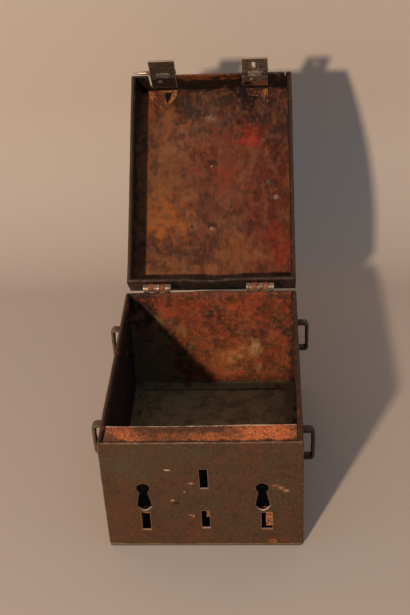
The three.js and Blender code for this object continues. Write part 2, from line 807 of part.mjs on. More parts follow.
function place(group, name, solid, color, roughness, metalness) {
  const pivot = group.userData.pivot ?? new THREE.Vector3();
  const mesh = new THREE.Mesh(toGeometry(solid, pivot), material(color, roughness, metalness));
  mesh.name = name;
  group.add(mesh);
}

// The hinge rivets come in pairs, left hinge first
function placeRivets(group, part, specs) {
  specs.forEach((spec, index) => {
    const side = index < 2 ? 'left' : 'right';
    place(group, `${side}_hinge_${part}_rivet_${(index % 2) + 1}`, rivet(spec), iron.fitting);
  });
}

function buildBody(box) {
  place(box, 'floor_plate', floorPlate(), iron.shell);
  place(box, 'front_panel', frontPanel(), iron.shell);
  place(box, 'rear_wall', rearWall(), iron.inside);
  place(box, 'left_wall', sideWall(-1, leftLoopPlaces), iron.shell);
  place(box, 'right_wall', sideWall(1, rightLoopPlaces), iron.shell);
  place(box, 'lock_partition', lockPartition(), iron.inside);
  place(box, 'lock_ledge', lockLedge(), iron.ledge);
  for (const [end, y] of Object.entries(rightLoopPlaces)) {
    place(box, `right_${end}_loop`, strapLoop(1, y), iron.fitting);
  }
  for (const [end, y] of Object.entries(leftLoopPlaces)) {
    place(box, `left_${end}_loop`, strapLoop(-1, y), iron.fitting);
  }
  for (const [side, x] of Object.entries(hingePlaces)) {
    place(box, `${side}_hinge_base_leaf`, baseLeaf(x), iron.bright, 0.6);
    place(box, `${side}_hinge_pin`, hingePin(x), iron.bright, 0.6);
  }
  placeRivets(box, 'base', hingeRivets('base'));
}

function buildLocks(box) {
  place(box, 'left_bolt', leftBolt(), iron.rusty);
  place(box, 'right_bolt', rightBolt(), iron.rusty);
  for (const [side, lock] of Object.entries(locks)) {
    const head = headGuides[side];
    const strap = guideStrap(strapRange(lock), barBottom, barTop, springRoom);
    place(box, `${side}_guide_strap`, strap, iron.fitting);
    place(box, `${side}_guide_clip`, guideClip(clipRange(lock)), iron.fitting);
    place(box, `${side}_head_guide`, guideStrap(head.range, head.bottom, head.top, 0), iron.fitting);
    place(box, `${side}_bolt_spring`, boltSpring(lock), iron.bright, 0.5);
    place(box, `${side}_lock_bridge`, lockBridge(lock), iron.fitting);
  }
}

function buildLid(box) {
  const lid = hinged(lidPivot, lidOpenAngle);
  box.add(lid);
  place(lid, 'lid_shell', lidShell(), iron.inside);
  for (const [side, x] of Object.entries(hingePlaces)) {
    place(lid, `${side}_hinge_lid_leaf`, lidLeaf(x), iron.rusty);
  }
  placeRivets(lid, 'lid', hingeRivets('lid'));
  for (const [side, x] of Object.entries(haspPlaces)) {
    place(lid, `${side}_hasp_leaf`, haspLeaf(x), iron.fitting);
    const flap = hinged(new THREE.Vector3(0, haspAxisY, haspAxisZ), flapLift, lidPivot);
    lid.add(flap);
    place(flap, `${side}_hasp_flap`, haspFlap(x, side === 'right'), iron.fitting);
  }
  place(lid, 'left_hasp_pin', nailPin(haspPlaces.left), iron.bright, 0.6);
  place(lid, 'left_pin_washer', nailWasher(haspPlaces.left), iron.bright, 0.6);
  place(lid, 'right_hasp_pin', plainHaspPin(haspPlaces.right), iron.bright, 0.6);
  place(lid, 'left_fork_bracket', forkBracket(haspPlaces.left), iron.rusty);
  place(lid, 'right_hook_bracket', hookBracket(haspPlaces.right), iron.rusty);
  place(lid, 'left_hasp_rivet', rivet(haspRivets[0]), iron.bright);
  place(lid, 'right_hasp_rivet', rivet(haspRivets[1]), iron.bright);
  place(lid, 'left_fork_rivet', rivet(bracketRivets[0]), iron.rusty);
  place(lid, 'right_hook_rivet', rivet(bracketRivets[1]), iron.rusty);
  plugRivets.forEach((spec, index) => place(lid, `lid_plug_${index + 1}`, rivet(spec), iron.bright));
}

const strongbox = new THREE.Group();
buildBody(strongbox);
buildLocks(strongbox);
buildLid(strongbox);

export default strongbox;
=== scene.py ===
"""Looks of an iron strongbox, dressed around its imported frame.

Lengths here are millimetres until a mesh is made. The lid and its fittings are drawn shut, in the
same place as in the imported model's source, and are then turned open about the hinge pins.
"""

import bmesh
import bpy
import numpy as np
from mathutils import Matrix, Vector


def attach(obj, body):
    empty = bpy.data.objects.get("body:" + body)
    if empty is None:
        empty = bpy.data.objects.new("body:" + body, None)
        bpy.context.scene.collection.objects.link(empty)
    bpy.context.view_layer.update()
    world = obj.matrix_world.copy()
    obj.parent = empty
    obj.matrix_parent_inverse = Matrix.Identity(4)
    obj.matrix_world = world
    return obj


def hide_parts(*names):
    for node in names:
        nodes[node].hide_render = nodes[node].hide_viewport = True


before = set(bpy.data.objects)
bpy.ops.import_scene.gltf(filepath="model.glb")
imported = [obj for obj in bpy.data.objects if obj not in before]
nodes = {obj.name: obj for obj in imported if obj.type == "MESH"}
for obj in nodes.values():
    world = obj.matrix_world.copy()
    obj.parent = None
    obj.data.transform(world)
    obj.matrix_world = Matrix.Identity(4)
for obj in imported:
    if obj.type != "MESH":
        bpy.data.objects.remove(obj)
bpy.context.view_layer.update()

MM = 0.001

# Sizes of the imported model. Faces of the body, its sheet, and the play between loose pieces
HALF_WIDTH = 75.0
FRONT, REAR = -101.0, 101.0
WALL_TOP = 104.0
PARTITION_BACK = -79.0
LEDGE_TOP = 102.5
FLOOR_CORNER = 3.0
SHEET = 1.6
HALF_SHEET = SHEET / 2
PLAY = 0.3

# Feet of the walls, folded in over the floor, by their middle's height and the height below which a
# cell belongs to one. A side wall's ends at FOOT_INNER along X, the others are FOOT_HALF wide to each
# side and end at FOOT_END along Y
FOOT_MIDDLE = 2.4
FOOT_ZONE = 3.3
FOOT_INNER = 64.4
FOOT_HALF = 64.1
FOOT_END = 90.4

# Folds and the hems along the rims: radii at mid sheet, a hem's lower end, and the room between hems
FOLD_TURN = 1.2
HEM_TURN = 1.3
HEM_LOW = 97.0
BETWEEN_HEMS = 70.5

# Strap loops, by the side they are on and their Y, and the height of their middle
LOOPS = {
    "right_front": (1, -72.7),
    "right_rear": (1, 66.7),
    "left_front": (-1, -64.6),
    "left_rear": (-1, 60.6),
}
LOOP_MIDDLE = 79.5

# Openings in the front panel, by X and Z
KEYHOLES = (-44.5, 44.5)
SLOTS = {
    "left": (-47.85, -41.15, 16.8, 35.8),
    "right": (43.15, 51.45, 17.6, 35.4),
    "upper_middle": (-2.15, 4.15, 59.4, 78.7),
    "lower_middle": (-2.15, 4.15, 18.6, 37.0),
}

# The lid, drawn shut, and the axes of its hinges and hasps, by Y and Z
RIM = 104.3
LID_TOP = 133.3
LID_HEM_TOP = 110.3
PIVOT = (106.6, 104.15)
LID_OPEN = 139.0
HINGES = {"left": -47.7, "right": 43.5}
HINGE_LENGTH = 24.0
HINGE_LEAF = 1.8
KNUCKLE = HINGE_LENGTH / 5
HASPS = {"left": -45.0, "right": 41.0}
HASP_WIDTH = 24.0
HASP_AXIS = (-103.9, 104.9)
HASP_LEAF = 1.2
FLAP_LIFT = 5.0
BRACKET_FRONT = FRONT + SHEET + PLAY + HASP_LEAF + PLAY

# Rivets: radii of shank and head, a head's height, and the places of the plugs by X and Y
RIVET_SHANK, RIVET_HEAD, RIVET_HEIGHT = 1.5, 2.8, 0.8
PLUGS = [(-0.8, -71.0), (-0.8, -18.9), (-0.8, 42.6), (-19.2, 40.7), (52.5, -2.5), (58.8, 12.6)]

# Ways a sheet faces or a rivet goes in
UP, DOWN, BACK, FORWARD = (0, 0, 1), (0, 0, -1), (0, 1, 0), (0, -1, 0)

# Meshes: points closer than MERGED become one, and grid lines closer than CLOSEST too. Next to the edge
# of a sheet the lines stand TIGHT. Edges are rounded by ROUNDED, and are worn over about WEAR_REACH
MERGED = 0.02
CLOSEST = 0.05
TIGHT = (0.4, 1.1)
ROUNDED = 0.3
WEAR_REACH = 0.9

# Seeds of the random numbers
SEEDS = {
    "hand work": 7,
    "loops": 40,
    "floor": 60,
    "flaps": 70,
    "nail": 75,
    "brackets": 80,
    "ledge": 90,
    "hinge rivets": 300,
    "plugs": 400,
    "hasp rivets": 420,
    "bracket rivets": 430,
}


# Numbers and lines


def field(points, wavelength, seed):
    """Smooth random values from -1 to 1: a lattice of random numbers blended with a cubic fade."""
    size = 32
    table = np.random.default_rng(seed).uniform(-1, 1, (size, size, size))
    cell = np.asarray(points, float) / wavelength
    base = np.floor(cell).astype(int)
    fade = cell - base
    fade = fade * fade * (3 - 2 * fade)
    total = np.zeros(cell.shape[:-1])
    for corner in np.ndindex(2, 2, 2):
        at = (base + corner) % size
        weight = np.prod(np.where(corner, fade, 1 - fade), axis=-1)
        total += table[at[..., 0], at[..., 1], at[..., 2]] * weight
    return total


def pushed(points, steps, seed):
    """Points moved by smooth random vectors, one set for each (wavelength, reach)."""
    moved = np.array(points, float)
    for number, (wavelength, reach) in enumerate(steps):
        for axis in range(3):
            moved[..., axis] += reach * field(points, wavelength, seed + 10 * number + axis)
    return moved


# Wavelength and reach in mm of the sheets' bends, dents and hammer marks
HAND_WORK = [(64, 0.42), (22, 0.17), (8, 0.06)]


def hand_worked(points):
    """The box as hand work left it: slow bends and small dents, and rear rims pushed out in the middle.

    One field serves the body and the shut lid, so pieces that touch keep touching. The push is a flat
    topped window along X times a bell about the rim's height.
    """
    depth, middle, half_width, half_height, only_past = 1.5, -1.5, 13.5, 6.0, 90
    moved = pushed(points, HAND_WORK, SEEDS["hand work"])
    x, y, z = (np.asarray(points, float)[..., axis] for axis in range(3))
    window = 1 / (1 + ((x - middle) / half_width) ** 8)
    near_rim = np.exp(-(((z - WALL_TOP) / half_height) ** 2))
    moved[..., 1] += depth * window * near_rim * (y > only_past)
    return moved


def inside_frame(points):
    """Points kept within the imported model's outer faces, half a sheet in from them; free at the rear."""
    inset = HALF_SHEET + 0.02
    low = np.array([-HALF_WIDTH, FRONT, 0.0]) + inset
    high = np.array([HALF_WIDTH, 200.0, LID_TOP]) - inset
    return np.clip(points, low, high)


def rounded_line(points, turn, steps=5):
    """A bent line through points in a plane, each corner turned on its radius.

    The arc's centre lies on the corner's bisector, and the arc blends the two radii that meet it by
    the sines of the shares of its angle.
    """
    points = [np.array(p, float) for p in points]
    turns = [turn] * (len(points) - 2) if np.isscalar(turn) else list(turn)
    line = [points[0]]
    for before, here, after, radius in zip(points, points[1:], points[2:], turns):
        back = (before - here) / np.linalg.norm(before - here)
        on = (after - here) / np.linalg.norm(after - here)
        half = 0.5 * np.arccos(np.clip(back @ on, -1, 1))
        centre = here + (back + on) / np.linalg.norm(back + on) * radius / np.sin(half)
        start = here + back * radius / np.tan(half) - centre
        end = here + on * radius / np.tan(half) - centre
        sweep = np.pi - 2 * half
        shares = np.linspace(0, 1, steps + 1)[:, None]
        arc = (np.sin((1 - shares) * sweep) * start + np.sin(shares * sweep) * end) / np.sin(sweep)
        line.extend(centre + arc)
    line.append(points[-1])
    line = np.array(line)
    apart = np.linalg.norm(np.diff(line, axis=0), axis=1) > 1e-6
    return line[np.concatenate([[True], apart])]


def circle_line(centre, radius, start, end, steps=20):
    """Points on a circle in a plane, from one angle to another in degrees."""
    angle = np.radians(np.linspace(start, end, steps + 1))
    return np.stack([centre[0] + radius * np.cos(angle), centre[1] + radius * np.sin(angle)], 1)


def along(line, step):
    """Lengths along a bent line, its corner points among them, and the line as a function of length."""
    corners = np.concatenate([[0], np.cumsum(np.linalg.norm(np.diff(line, axis=0), axis=1))])
    stretches = [
        np.linspace(start, end, max(1, int(np.ceil((end - start) / step))), endpoint=False)
        for start, end in zip(corners, corners[1:])
    ]
    lengths = np.concatenate([*stretches, [corners[-1]]])
    return lengths, lambda length: tuple(np.interp(length, corners, line[:, axis]) for axis in (0, 1))


def well_apart(lines):
    """Sorted places without those that lie close behind another."""
    return lines[np.concatenate([[True], np.diff(lines) > CLOSEST])]


def grid_lines(start, end, step, required=(), tight=TIGHT):
    """Evenly spaced places from start to end, closer at both ends and exactly at the required ones."""
    lines = np.linspace(start, end, int(np.ceil((end - start) / step)) + 1)
    wanted = [*required, *(start + t for t in tight), *(end - t for t in tight)]
    for place in wanted:
        lines[1 + np.argmin(np.abs(lines[1:-1] - place))] = place
    lines = np.sort(np.concatenate([lines, wanted]))
    return well_apart(lines)


def outline_distance(x, y, points):
    """Signed distance to a closed outline in a plane, negative inside it.

    The distance is the least one to a side, and inside is where a ray along the first axis crosses an
    odd number of sides.
    """
    points = np.array(points, float)
    nearest = np.full(np.shape(x), 1e9)
    inside = np.zeros(np.shape(x), bool)
    for (x0, y0), (x1, y1) in zip(points, np.roll(points, -1, axis=0)):
        dx, dy = x1 - x0, y1 - y0
        share = np.clip(((x - x0) * dx + (y - y0) * dy) / (dx * dx + dy * dy), 0, 1)
        nearest = np.minimum(nearest, np.hypot(x - x0 - share * dx, y - y0 - share * dy))
        crosses = (y0 > y) != (y1 > y)
        if dy:
            inside ^= crosses & (x < x0 + (y - y0) * dx / dy)
    return np.where(inside, -nearest, nearest)


def rectangle(x0, x1, z0, z1):
    """The corners of an upright rectangle, in turn."""
    return [(x0, z0), (x1, z0), (x1, z1), (x0, z1)]


# Parts of a mesh: arrays of points, faces and what the finishes read


def grid_part(points, drawn, wear, keep=None):
    """A part from a grid of points: a four-sided face for each cell that is kept."""
    rows, columns = points.shape[:2]
    index = np.arange(rows * columns).reshape(rows, columns)
    cells = np.stack([index[:-1, :-1], index[1:, :-1], index[1:, 1:], index[:-1, 1:]], -1)
    faces = cells.reshape(-1, 4) if keep is None else cells[keep]
    return {
        "points": points.reshape(-1, 3),
        "drawn": drawn.reshape(-1, 3),
        "wear": np.broadcast_to(wear, points.shape[:2]).reshape(-1),
        "faces": faces,
        "finish": np.zeros(len(faces), int),
    }


def sheet_part(lengths, widths, place, keep=None, holes=None, bend=hand_worked):
    """The middle surface of a sheet, place(length, width) on a grid, without the cells keep leaves out.

    holes gives the distance from the edges of openings, positive in the metal. Cells inside an
    opening are left out, and the points round it are drawn onto its edge along the distance's slope.
    The wear is 1 at every edge and fades away from it by an exponential.
    """
    slope_step, furthest = 0.05, 0.9
    length, width = np.meshgrid(lengths, widths, indexing="ij")
    grids = ((length, lengths), (width, widths))
    edge = np.minimum.reduce([np.minimum(grid - lines[0], lines[-1] - grid) for grid, lines in grids])
    middles = [0.25 * (grid[:-1, :-1] + grid[1:, :-1] + grid[1:, 1:] + grid[:-1, 1:]) for grid, _ in grids]
    kept = np.ones(middles[0].shape, bool) if keep is None else keep(*middles)
    if holes is not None:
        solid = holes(*middles) > 0
        touched = np.zeros(length.shape, bool)
        for row, column in ((0, 0), (1, 0), (0, 1), (1, 1)):
            block = touched[row : row + solid.shape[0], column : column + solid.shape[1]]
            block |= ~solid
        distance = holes(length, width)
        slope_length, slope_width = (
            (holes(length + dl, width + dw) - holes(length - dl, width - dw)) / (2 * slope_step)
            for dl, dw in ((slope_step, 0), (0, slope_step))
        )
        reach = np.where(touched, np.clip(distance, -furthest, furthest), 0)
        length = length - reach * slope_length
        width = width - reach * slope_width
        kept &= solid
        edge = np.minimum(edge, np.maximum(distance, 0))
    drawn = np.stack(place(length, width), -1)
    return grid_part(bend(drawn), drawn, np.exp(-edge / WEAR_REACH), kept)


def turned_part(profile, centre, axis, sides=28, wear=0.0):
    """A profile of (radius, height) points turned about an axis through the centre.

    The ring's two directions come from the axis and any other direction by cross products.
    """
    any_other = (0.3, 0.5, 0.8)
    profile = np.array(profile, float)
    axis = np.array(axis, float)
    side = np.cross(axis, any_other)
    side /= np.linalg.norm(side)
    other = np.cross(axis, side)
    angle = np.linspace(0, 2 * np.pi, sides + 1)
    ring = np.cos(angle)[:, None] * side + np.sin(angle)[:, None] * other
    radius, height = profile[:, 0][:, None, None], profile[:, 1][:, None, None]
    points = np.array(centre) + height * axis + radius * ring[None]
    return grid_part(points, points, wear)


def bar_part(line, half_width, half_height, frame_of, wear=0.0, square=3.2, sides=24):
    """A bar whose section, a rounded rectangle, is carried along a line; frame_of is its two ways.

    The section is a superellipse: cosine and sine of an angle to the power 2 / square, signs kept.
    """
    angle = np.linspace(0, 2 * np.pi, sides + 1)
    round_off = 2 / square
    wide = half_width * np.sign(np.cos(angle)) * np.abs(np.cos(angle)) ** round_off
    high = half_height * np.sign(np.sin(angle)) * np.abs(np.sin(angle)) ** round_off
    across, up = frame_of
    points = line[:, None] + wide[:, None] * across[:, None] + high[:, None] * up[:, None]
    return grid_part(points, points, wear)


def capped(part_points, part):
    """Closes both ends of a bar with one many-sided face each; part_points is the count in a section."""
    count = len(part["points"])
    first = np.arange(part_points - 1)
    last = np.arange(count - part_points, count - 1)
    part["caps"] = [first[::-1].tolist(), last.tolist()]
    return part


# Turning from drawn shut to rest


def turn_about(points, centre, degrees):
    """Points turned about a line along X through (y, z), the front going up."""
    angle = np.radians(degrees)
    y, z = points[..., 1] - centre[0], points[..., 2] - centre[1]
    out = np.array(points, float)
    out[..., 1] = centre[0] + y * np.cos(angle) + z * np.sin(angle)
    out[..., 2] = centre[1] - y * np.sin(angle) + z * np.cos(angle)
    return out


def as_drawn(points):
    """The body's points, which stay where they are drawn."""
    return points


def lid_open(points):
    """The lid's points, turned from shut to open about the hinge pins."""
    return turn_about(points, PIVOT, LID_OPEN)


def flap_lifted(points):
    """A hasp's points, turned a little about its pin, and then with the lid."""
    return lid_open(turn_about(points, HASP_AXIS, FLAP_LIFT))


REST = {
    "body": as_drawn,
    "lid": lid_open,
    "left_hasp": flap_lifted,
    "right_hasp": flap_lifted,
}


# Pieces


def mean_normal(mesh):
    """The sum of a mesh's face normals, each as long as its face's area."""
    normals = np.empty(3 * len(mesh.polygons))
    areas = np.empty(len(mesh.polygons))
    mesh.polygons.foreach_get("normal", normals)
    mesh.polygons.foreach_get("area", areas)
    return (normals.reshape(-1, 3) * areas[:, None]).sum(axis=0)


def piece(name, body, parts, finishes, replaced, thickness=0.0, edge=0.0, facing=None):
    """A piece from its parts, on its body at rest; a thickness makes a sheet of it, an edge rounds it.

    A sheet's first finish goes on the side that faces the given way, the second on the other side, and
    the third on its edges.
    """
    sharp = np.radians(50)
    starts = np.cumsum([0, *(len(part["points"]) for part in parts)])
    points = np.concatenate([part["points"] for part in parts])
    faces = np.concatenate([part["faces"] + start for part, start in zip(parts, starts)]).tolist()
    for part, start in zip(parts, starts):
        faces += [[index + int(start) for index in cap] for cap in part.get("caps", [])]
    mesh = bpy.data.meshes.new(name)
    mesh.from_pydata((REST[body](points) * MM).tolist(), [], faces)
    drawn = mesh.attributes.new("drawn", "FLOAT_VECTOR", "POINT")
    drawn.data.foreach_set("vector", np.concatenate([part["drawn"] for part in parts]).ravel())
    wear = mesh.attributes.new("wear", "FLOAT", "POINT")
    wear.data.foreach_set("value", np.concatenate([part["wear"] for part in parts]))
    kinds = np.zeros(len(mesh.polygons), np.int32)
    folded = np.concatenate([part["finish"] for part in parts])
    kinds[: len(folded)] = folded
    mesh.attributes.new("finish", "INT", "FACE").data.foreach_set("value", kinds)
    made = bmesh.new()
    made.from_mesh(mesh)
    bmesh.ops.remove_doubles(made, verts=made.verts, dist=MERGED * MM)
    loose = [vertex for vertex in made.verts if not vertex.link_faces]
    bmesh.ops.delete(made, geom=loose, context="VERTS")
    bmesh.ops.recalc_face_normals(made, faces=made.faces)
    made.to_mesh(mesh)
    made.free()
    if facing:
        turned = REST[body](np.array([facing, (0, 0, 0)], float))
        if mean_normal(mesh) @ (turned[0] - turned[1]) < 0:
            mesh.flip_normals()
    mesh.shade_smooth()
    for finish in finishes:
        mesh.materials.append(finish)
    kinds = np.empty(len(mesh.polygons), np.int32)
    mesh.attributes["finish"].data.foreach_get("value", kinds)
    mesh.polygons.foreach_set("material_index", kinds)
    made = bpy.data.objects.new(name, mesh)
    bpy.context.scene.collection.objects.link(made)
    if thickness:
        solid = made.modifiers.new("sheet", "SOLIDIFY")
        solid.thickness = thickness * MM
        solid.offset = 0
        solid.use_even_offset = True
        solid.material_offset = min(1, len(finishes) - 1)
        solid.material_offset_rim = min(2, len(finishes) - 1)
    if edge:
        bevel = made.modifiers.new("edges", "BEVEL")
        bevel.width = edge * MM
        bevel.segments = 2
        bevel.limit_method = "ANGLE"
        bevel.angle_limit = sharp
    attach(made, body)
    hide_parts(*replaced)


# Finishes


def paint(code):
    """An sRGB hex colour as linear light."""
    levels = [int(code[start : start + 2], 16) / 255 for start in (1, 3, 5)]
    linear = [level / 12.92 if level <= 0.04045 else ((level + 0.055) / 1.055) ** 2.4 for level in levels]
    return (*linear, 1.0)


def node(tree, kind, inputs=None, **settings):
    """Adds a node with its settings, and sets or links its inputs; gives back its first output."""
    made = tree.nodes.new("ShaderNode" + kind)
    for key, value in settings.items():
        setattr(made, key, value)
    for key, value in (inputs or {}).items():
        if isinstance(value, bpy.types.NodeSocket):
            tree.links.new(value, made.inputs[key])
        else:
            made.inputs[key].default_value = value
    return made.outputs[0]


def output(socket, name):
    """Another output of the node that a socket belongs to."""
    return socket.node.outputs[name]


def grain(tree, place, size, shift=0.0, detail=4.0):
    """Noise with grains of a size in millimetres, one number or one for each axis."""
    sizes = (size, size, size) if np.isscalar(size) else size
    scaled = node(tree, "VectorMath", {0: place, 1: sizes}, operation="DIVIDE")
    moved = node(tree, "VectorMath", {0: scaled, 1: (shift, shift * 0.7, -shift)}, operation="ADD")
    return node(tree, "TexNoise", {"Vector": moved, "Scale": 1.0, "Detail": detail, "Roughness": 0.6})


def step_up(value, low, high, most=1.0):
    """What a MapRange node reads to give 0 below low and most above high; low may be the larger."""
    at_low, at_high = (most, 0.0) if low > high else (0.0, most)
    return {0: value, 1: min(low, high), 2: max(low, high), 3: at_low, 4: at_high}


# How far noise moves the outline of a patch, as a share of the patch's reach: finely, and in bends
# of about 7 mm, as wide as those of the photo's patches
FINE_STRAY = 1.6
WIDE_STRAY = 3.0
BEND_SIZE = 7.0


def near(tree, place, at, reach, ragged, blur, stray):
    """1 close to a place and 0 past its reach along X, Y and Z, with a ragged, more or less blurred edge.

    stray shifts the place by a share of the reach, differently from place to place, so no outline is round.
    """
    offset = node(tree, "VectorMath", {0: place, 1: at}, operation="SUBTRACT")
    scaled = node(tree, "VectorMath", {0: offset, 1: reach}, operation="DIVIDE")
    strayed = node(tree, "VectorMath", {0: scaled, 1: stray}, operation="ADD")
    length = output(node(tree, "VectorMath", {0: strayed}, operation="LENGTH"), "Value")
    rough = node(tree, "Math", {0: ragged, 1: FINE_STRAY, 2: -FINE_STRAY / 2}, operation="MULTIPLY_ADD")
    total = node(tree, "Math", {0: length, 1: rough}, operation="ADD")
    return node(tree, "MapRange", step_up(total, 1 + blur, 1 - blur), interpolation_type="SMOOTHSTEP")


def patch(colour, size, threshold, soft, strength, at=None, reach=None, blur=0.6, detail=4.0):
    """A layer of colour: its grain in mm, where and how softly its noise shows, and its place and reach."""
    return {
        "colour": colour,
        "size": size,
        "detail": detail,
        "threshold": threshold,
        "soft": soft,
        "strength": strength,
        "at": at,
        "reach": reach,
        "blur": blur,
    }


def cloud(colour, size, threshold, soft, strength, at=None, reach=None, blur=0.6):
    """A soft layer of colour, with little fine detail in it."""
    return patch(colour, size, threshold, soft, strength, at, reach, blur, detail=1.5)


def mark(colour, at, reach, strength=0.9):
    """A small mark at a place, with a ragged edge."""
    return patch(colour, 1.0, 0.47, 0.10, strength, at, reach, blur=0.5)


def aged_iron(
    name, ground, layers, bare="#B79A80", worn=0.55, rough=(0.5, 0.8), metal=0.25,
    pits=(0.9, 0.10), scale=(4.5, 0.16), drawn=True, shine=0.5,
):
    """Old iron: a ground colour under patches of oxide and dirt, pitted, rubbed bare along its edges.

    bare is the colour of rubbed metal, which shows where the wear is past worn. rough is the range of
    roughness, metal and shine are the shader's metallic and specular level. pits and scale are the
    grain and the depth in mm of the fine relief, rust pits up to a millimetre wide, and of the coarse
    one, flakes and swellings of the oxide. drawn finishes read the place where a point was drawn, so
    their patches lie where the photo has them; others read the node's own coordinates.
    """
    material = bpy.data.materials.new(name)
    material.use_nodes = True
    tree = material.node_tree
    shader = tree.nodes["Principled BSDF"]
    if drawn:
        place = output(node(tree, "Attribute", attribute_name="drawn"), "Vector")
    else:
        metres = output(node(tree, "TexCoord"), "Object")
        place = node(tree, "VectorMath", {0: metres, "Scale": 1 / MM}, operation="SCALE")
    chipping, rubbed_fade, fine_strength, broad_strength = 0.9, 0.3, 0.7, 0.8
    # Each noise is read at a place of its own, so no two have the same outline
    bends_shift, fine_shift, broad_shift = 31.0, 5.0, 9.0
    layer_shifts = 3.7 * np.arange(len(layers)) + 1.1
    bends = output(grain(tree, place, BEND_SIZE, bends_shift, detail=3.0), "Color")
    span = {0: bends, 1: (WIDE_STRAY,) * 3, 2: (-WIDE_STRAY / 2,) * 3}
    stray = node(tree, "VectorMath", span, operation="MULTIPLY_ADD")
    colour = paint(ground)
    for layer, shift in zip(layers, layer_shifts):
        pattern = grain(tree, place, layer["size"], shift, layer["detail"])
        low, high = layer["threshold"] - layer["soft"], layer["threshold"] + layer["soft"]
        shown = step_up(pattern, low, high, layer["strength"])
        shows = node(tree, "MapRange", shown, interpolation_type="SMOOTHSTEP")
        if layer["at"]:
            close = near(tree, place, layer["at"], layer["reach"], pattern, layer["blur"], stray)
            shows = node(tree, "Math", {0: shows, 1: close}, operation="MULTIPLY")
        mixed = node(tree, "Mix", {0: shows, 6: colour, 7: paint(layer["colour"])}, data_type="RGBA")
        colour = output(mixed, 2)
    fine = grain(tree, place, pits[0], fine_shift, detail=3.0)
    broad = grain(tree, place, scale[0], broad_shift, detail=5.0)
    gloss = node(tree, "MapRange", step_up(broad, 0.35, 0.65), interpolation_type="SMOOTHSTEP")
    roughness = node(tree, "MapRange", {0: gloss, 1: 0.0, 2: 1.0, 3: rough[0], 4: rough[1]})
    tree.links.new(roughness, shader.inputs["Roughness"])
    if drawn:
        edge = output(node(tree, "Attribute", attribute_name="wear"), "Fac")
        chipped = node(tree, "Math", {0: fine, 1: chipping, 2: -chipping / 2}, operation="MULTIPLY_ADD")
        ragged = node(tree, "Math", {0: edge, 1: chipped}, operation="ADD")
        bare_past = step_up(ragged, worn, worn + rubbed_fade)
        rubbed = node(tree, "MapRange", bare_past, interpolation_type="SMOOTHSTEP")
        mixed = node(tree, "Mix", {0: rubbed, 6: colour, 7: paint(bare)}, data_type="RGBA")
        colour = output(mixed, 2)
    tree.links.new(colour, shader.inputs["Base Color"])
    shader.inputs["Metallic"].default_value = metal
    shader.inputs["Specular IOR Level"].default_value = shine
    pitted = node(tree, "Bump", {"Height": fine, "Strength": fine_strength, "Distance": pits[1] * MM})
    flaked = {"Height": broad, "Strength": broad_strength, "Distance": scale[1] * MM, "Normal": pitted}
    tree.links.new(node(tree, "Bump", flaked), shader.inputs["Normal"])
    return material


# The size of every layer is the width in mm of what it stands for, taken from the photo by the scale of
# the box: clouds of patina and oxide 10 to 35, crusts 4 to 9, specks and streaks 1 to 3. Real grains of
# rust start near 0.1 and would be too fine to show, so the finest specks are drawn 0.8 to 1.6 wide.
# Each finish ends with how its edges are rubbed, how it shines, and its relief.

# Sheet iron outside, brown patina waxed over: dull olive and reddish clouds a few centimetres wide,
# specks of rust a millimetre or two wide, upright streaks of wear, and the scratches of use
shell_iron = aged_iron(
    "waxed_patina_sheet_iron",
    "#4D2C14",
    [
        patch("#43331E", 34, 0.50, 0.14, 0.75),
        patch("#592E16", 19, 0.55, 0.12, 0.65),
        patch("#311C0C", 7, 0.58, 0.08, 0.50),
        patch("#5D4833", 3.4, 0.60, 0.07, 0.35),
        patch("#6D3315", 1.6, 0.63, 0.05, 0.55),
        patch("#4A3E26", 15, 0.40, 0.15, 0.8, (-57, FRONT, 82), (20, 30, 14)),
        patch("#46381F", 12, 0.44, 0.15, 0.7, (-20, FRONT, 92), (22, 30, 14)),
        patch("#5E331A", 13, 0.42, 0.15, 0.6, (-62, FRONT, 30), (16, 30, 30)),
        patch("#3A2C1C", (1.6, 1.6, 3.2), 0.57, 0.08, 0.50),
        patch("#6A5236", (0.9, 0.9, 1.8), 0.59, 0.08, 0.40),
        patch("#70361A", 5, 0.46, 0.12, 0.7, (-6.8, FRONT, 11.0), (10, 30, 7)),
        patch("#B46328", 1.4, 0.44, 0.10, 0.85, (51.9, FRONT, 5.4), (2.6, 30, 3.0)),
        mark("#D9AE8C", (-25.3, FRONT, 78.0), (2.1, 30, 0.9)),
        mark("#BA906E", (-9.2, FRONT, 64.8), (2.2, 30, 1.1)),
        mark("#B08866", (-13.6, FRONT, 56.5), (0.9, 30, 1.3), 0.8),
        mark("#CCA284", (-23.1, FRONT, 47.8), (1.5, 30, 0.9)),
        mark("#B98664", (-10.4, FRONT, 32.6), (1.2, 30, 0.9)),
        mark("#B98664", (-8.0, FRONT, 31.6), (1.2, 30, 1.3), 0.8),
        patch("#B8684A", 0.8, 0.50, 0.07, 0.85, (53.5, FRONT, 62.4), (3.2, 30, 1.2)),
        patch("#C88261", 0.8, 0.49, 0.07, 0.90, (58.0, FRONT, 60.2), (3.0, 30, 1.4)),
        patch("#CC8F6E", 0.8, 0.46, 0.07, 0.90, (62.4, FRONT, 57.4), (2.2, 30, 1.6)),
        mark("#220B07", (-20.6, FRONT, 44.6), (2.2, 30, 1.6)),
        patch("#1B0907", 16, 0.35, 0.15, 0.9, (0, REAR, 119), (95, 4, 20)),
    ],
    bare="#8C6242",
    worn=0.66,
    metal=0.2,
    shine=0.4,
)

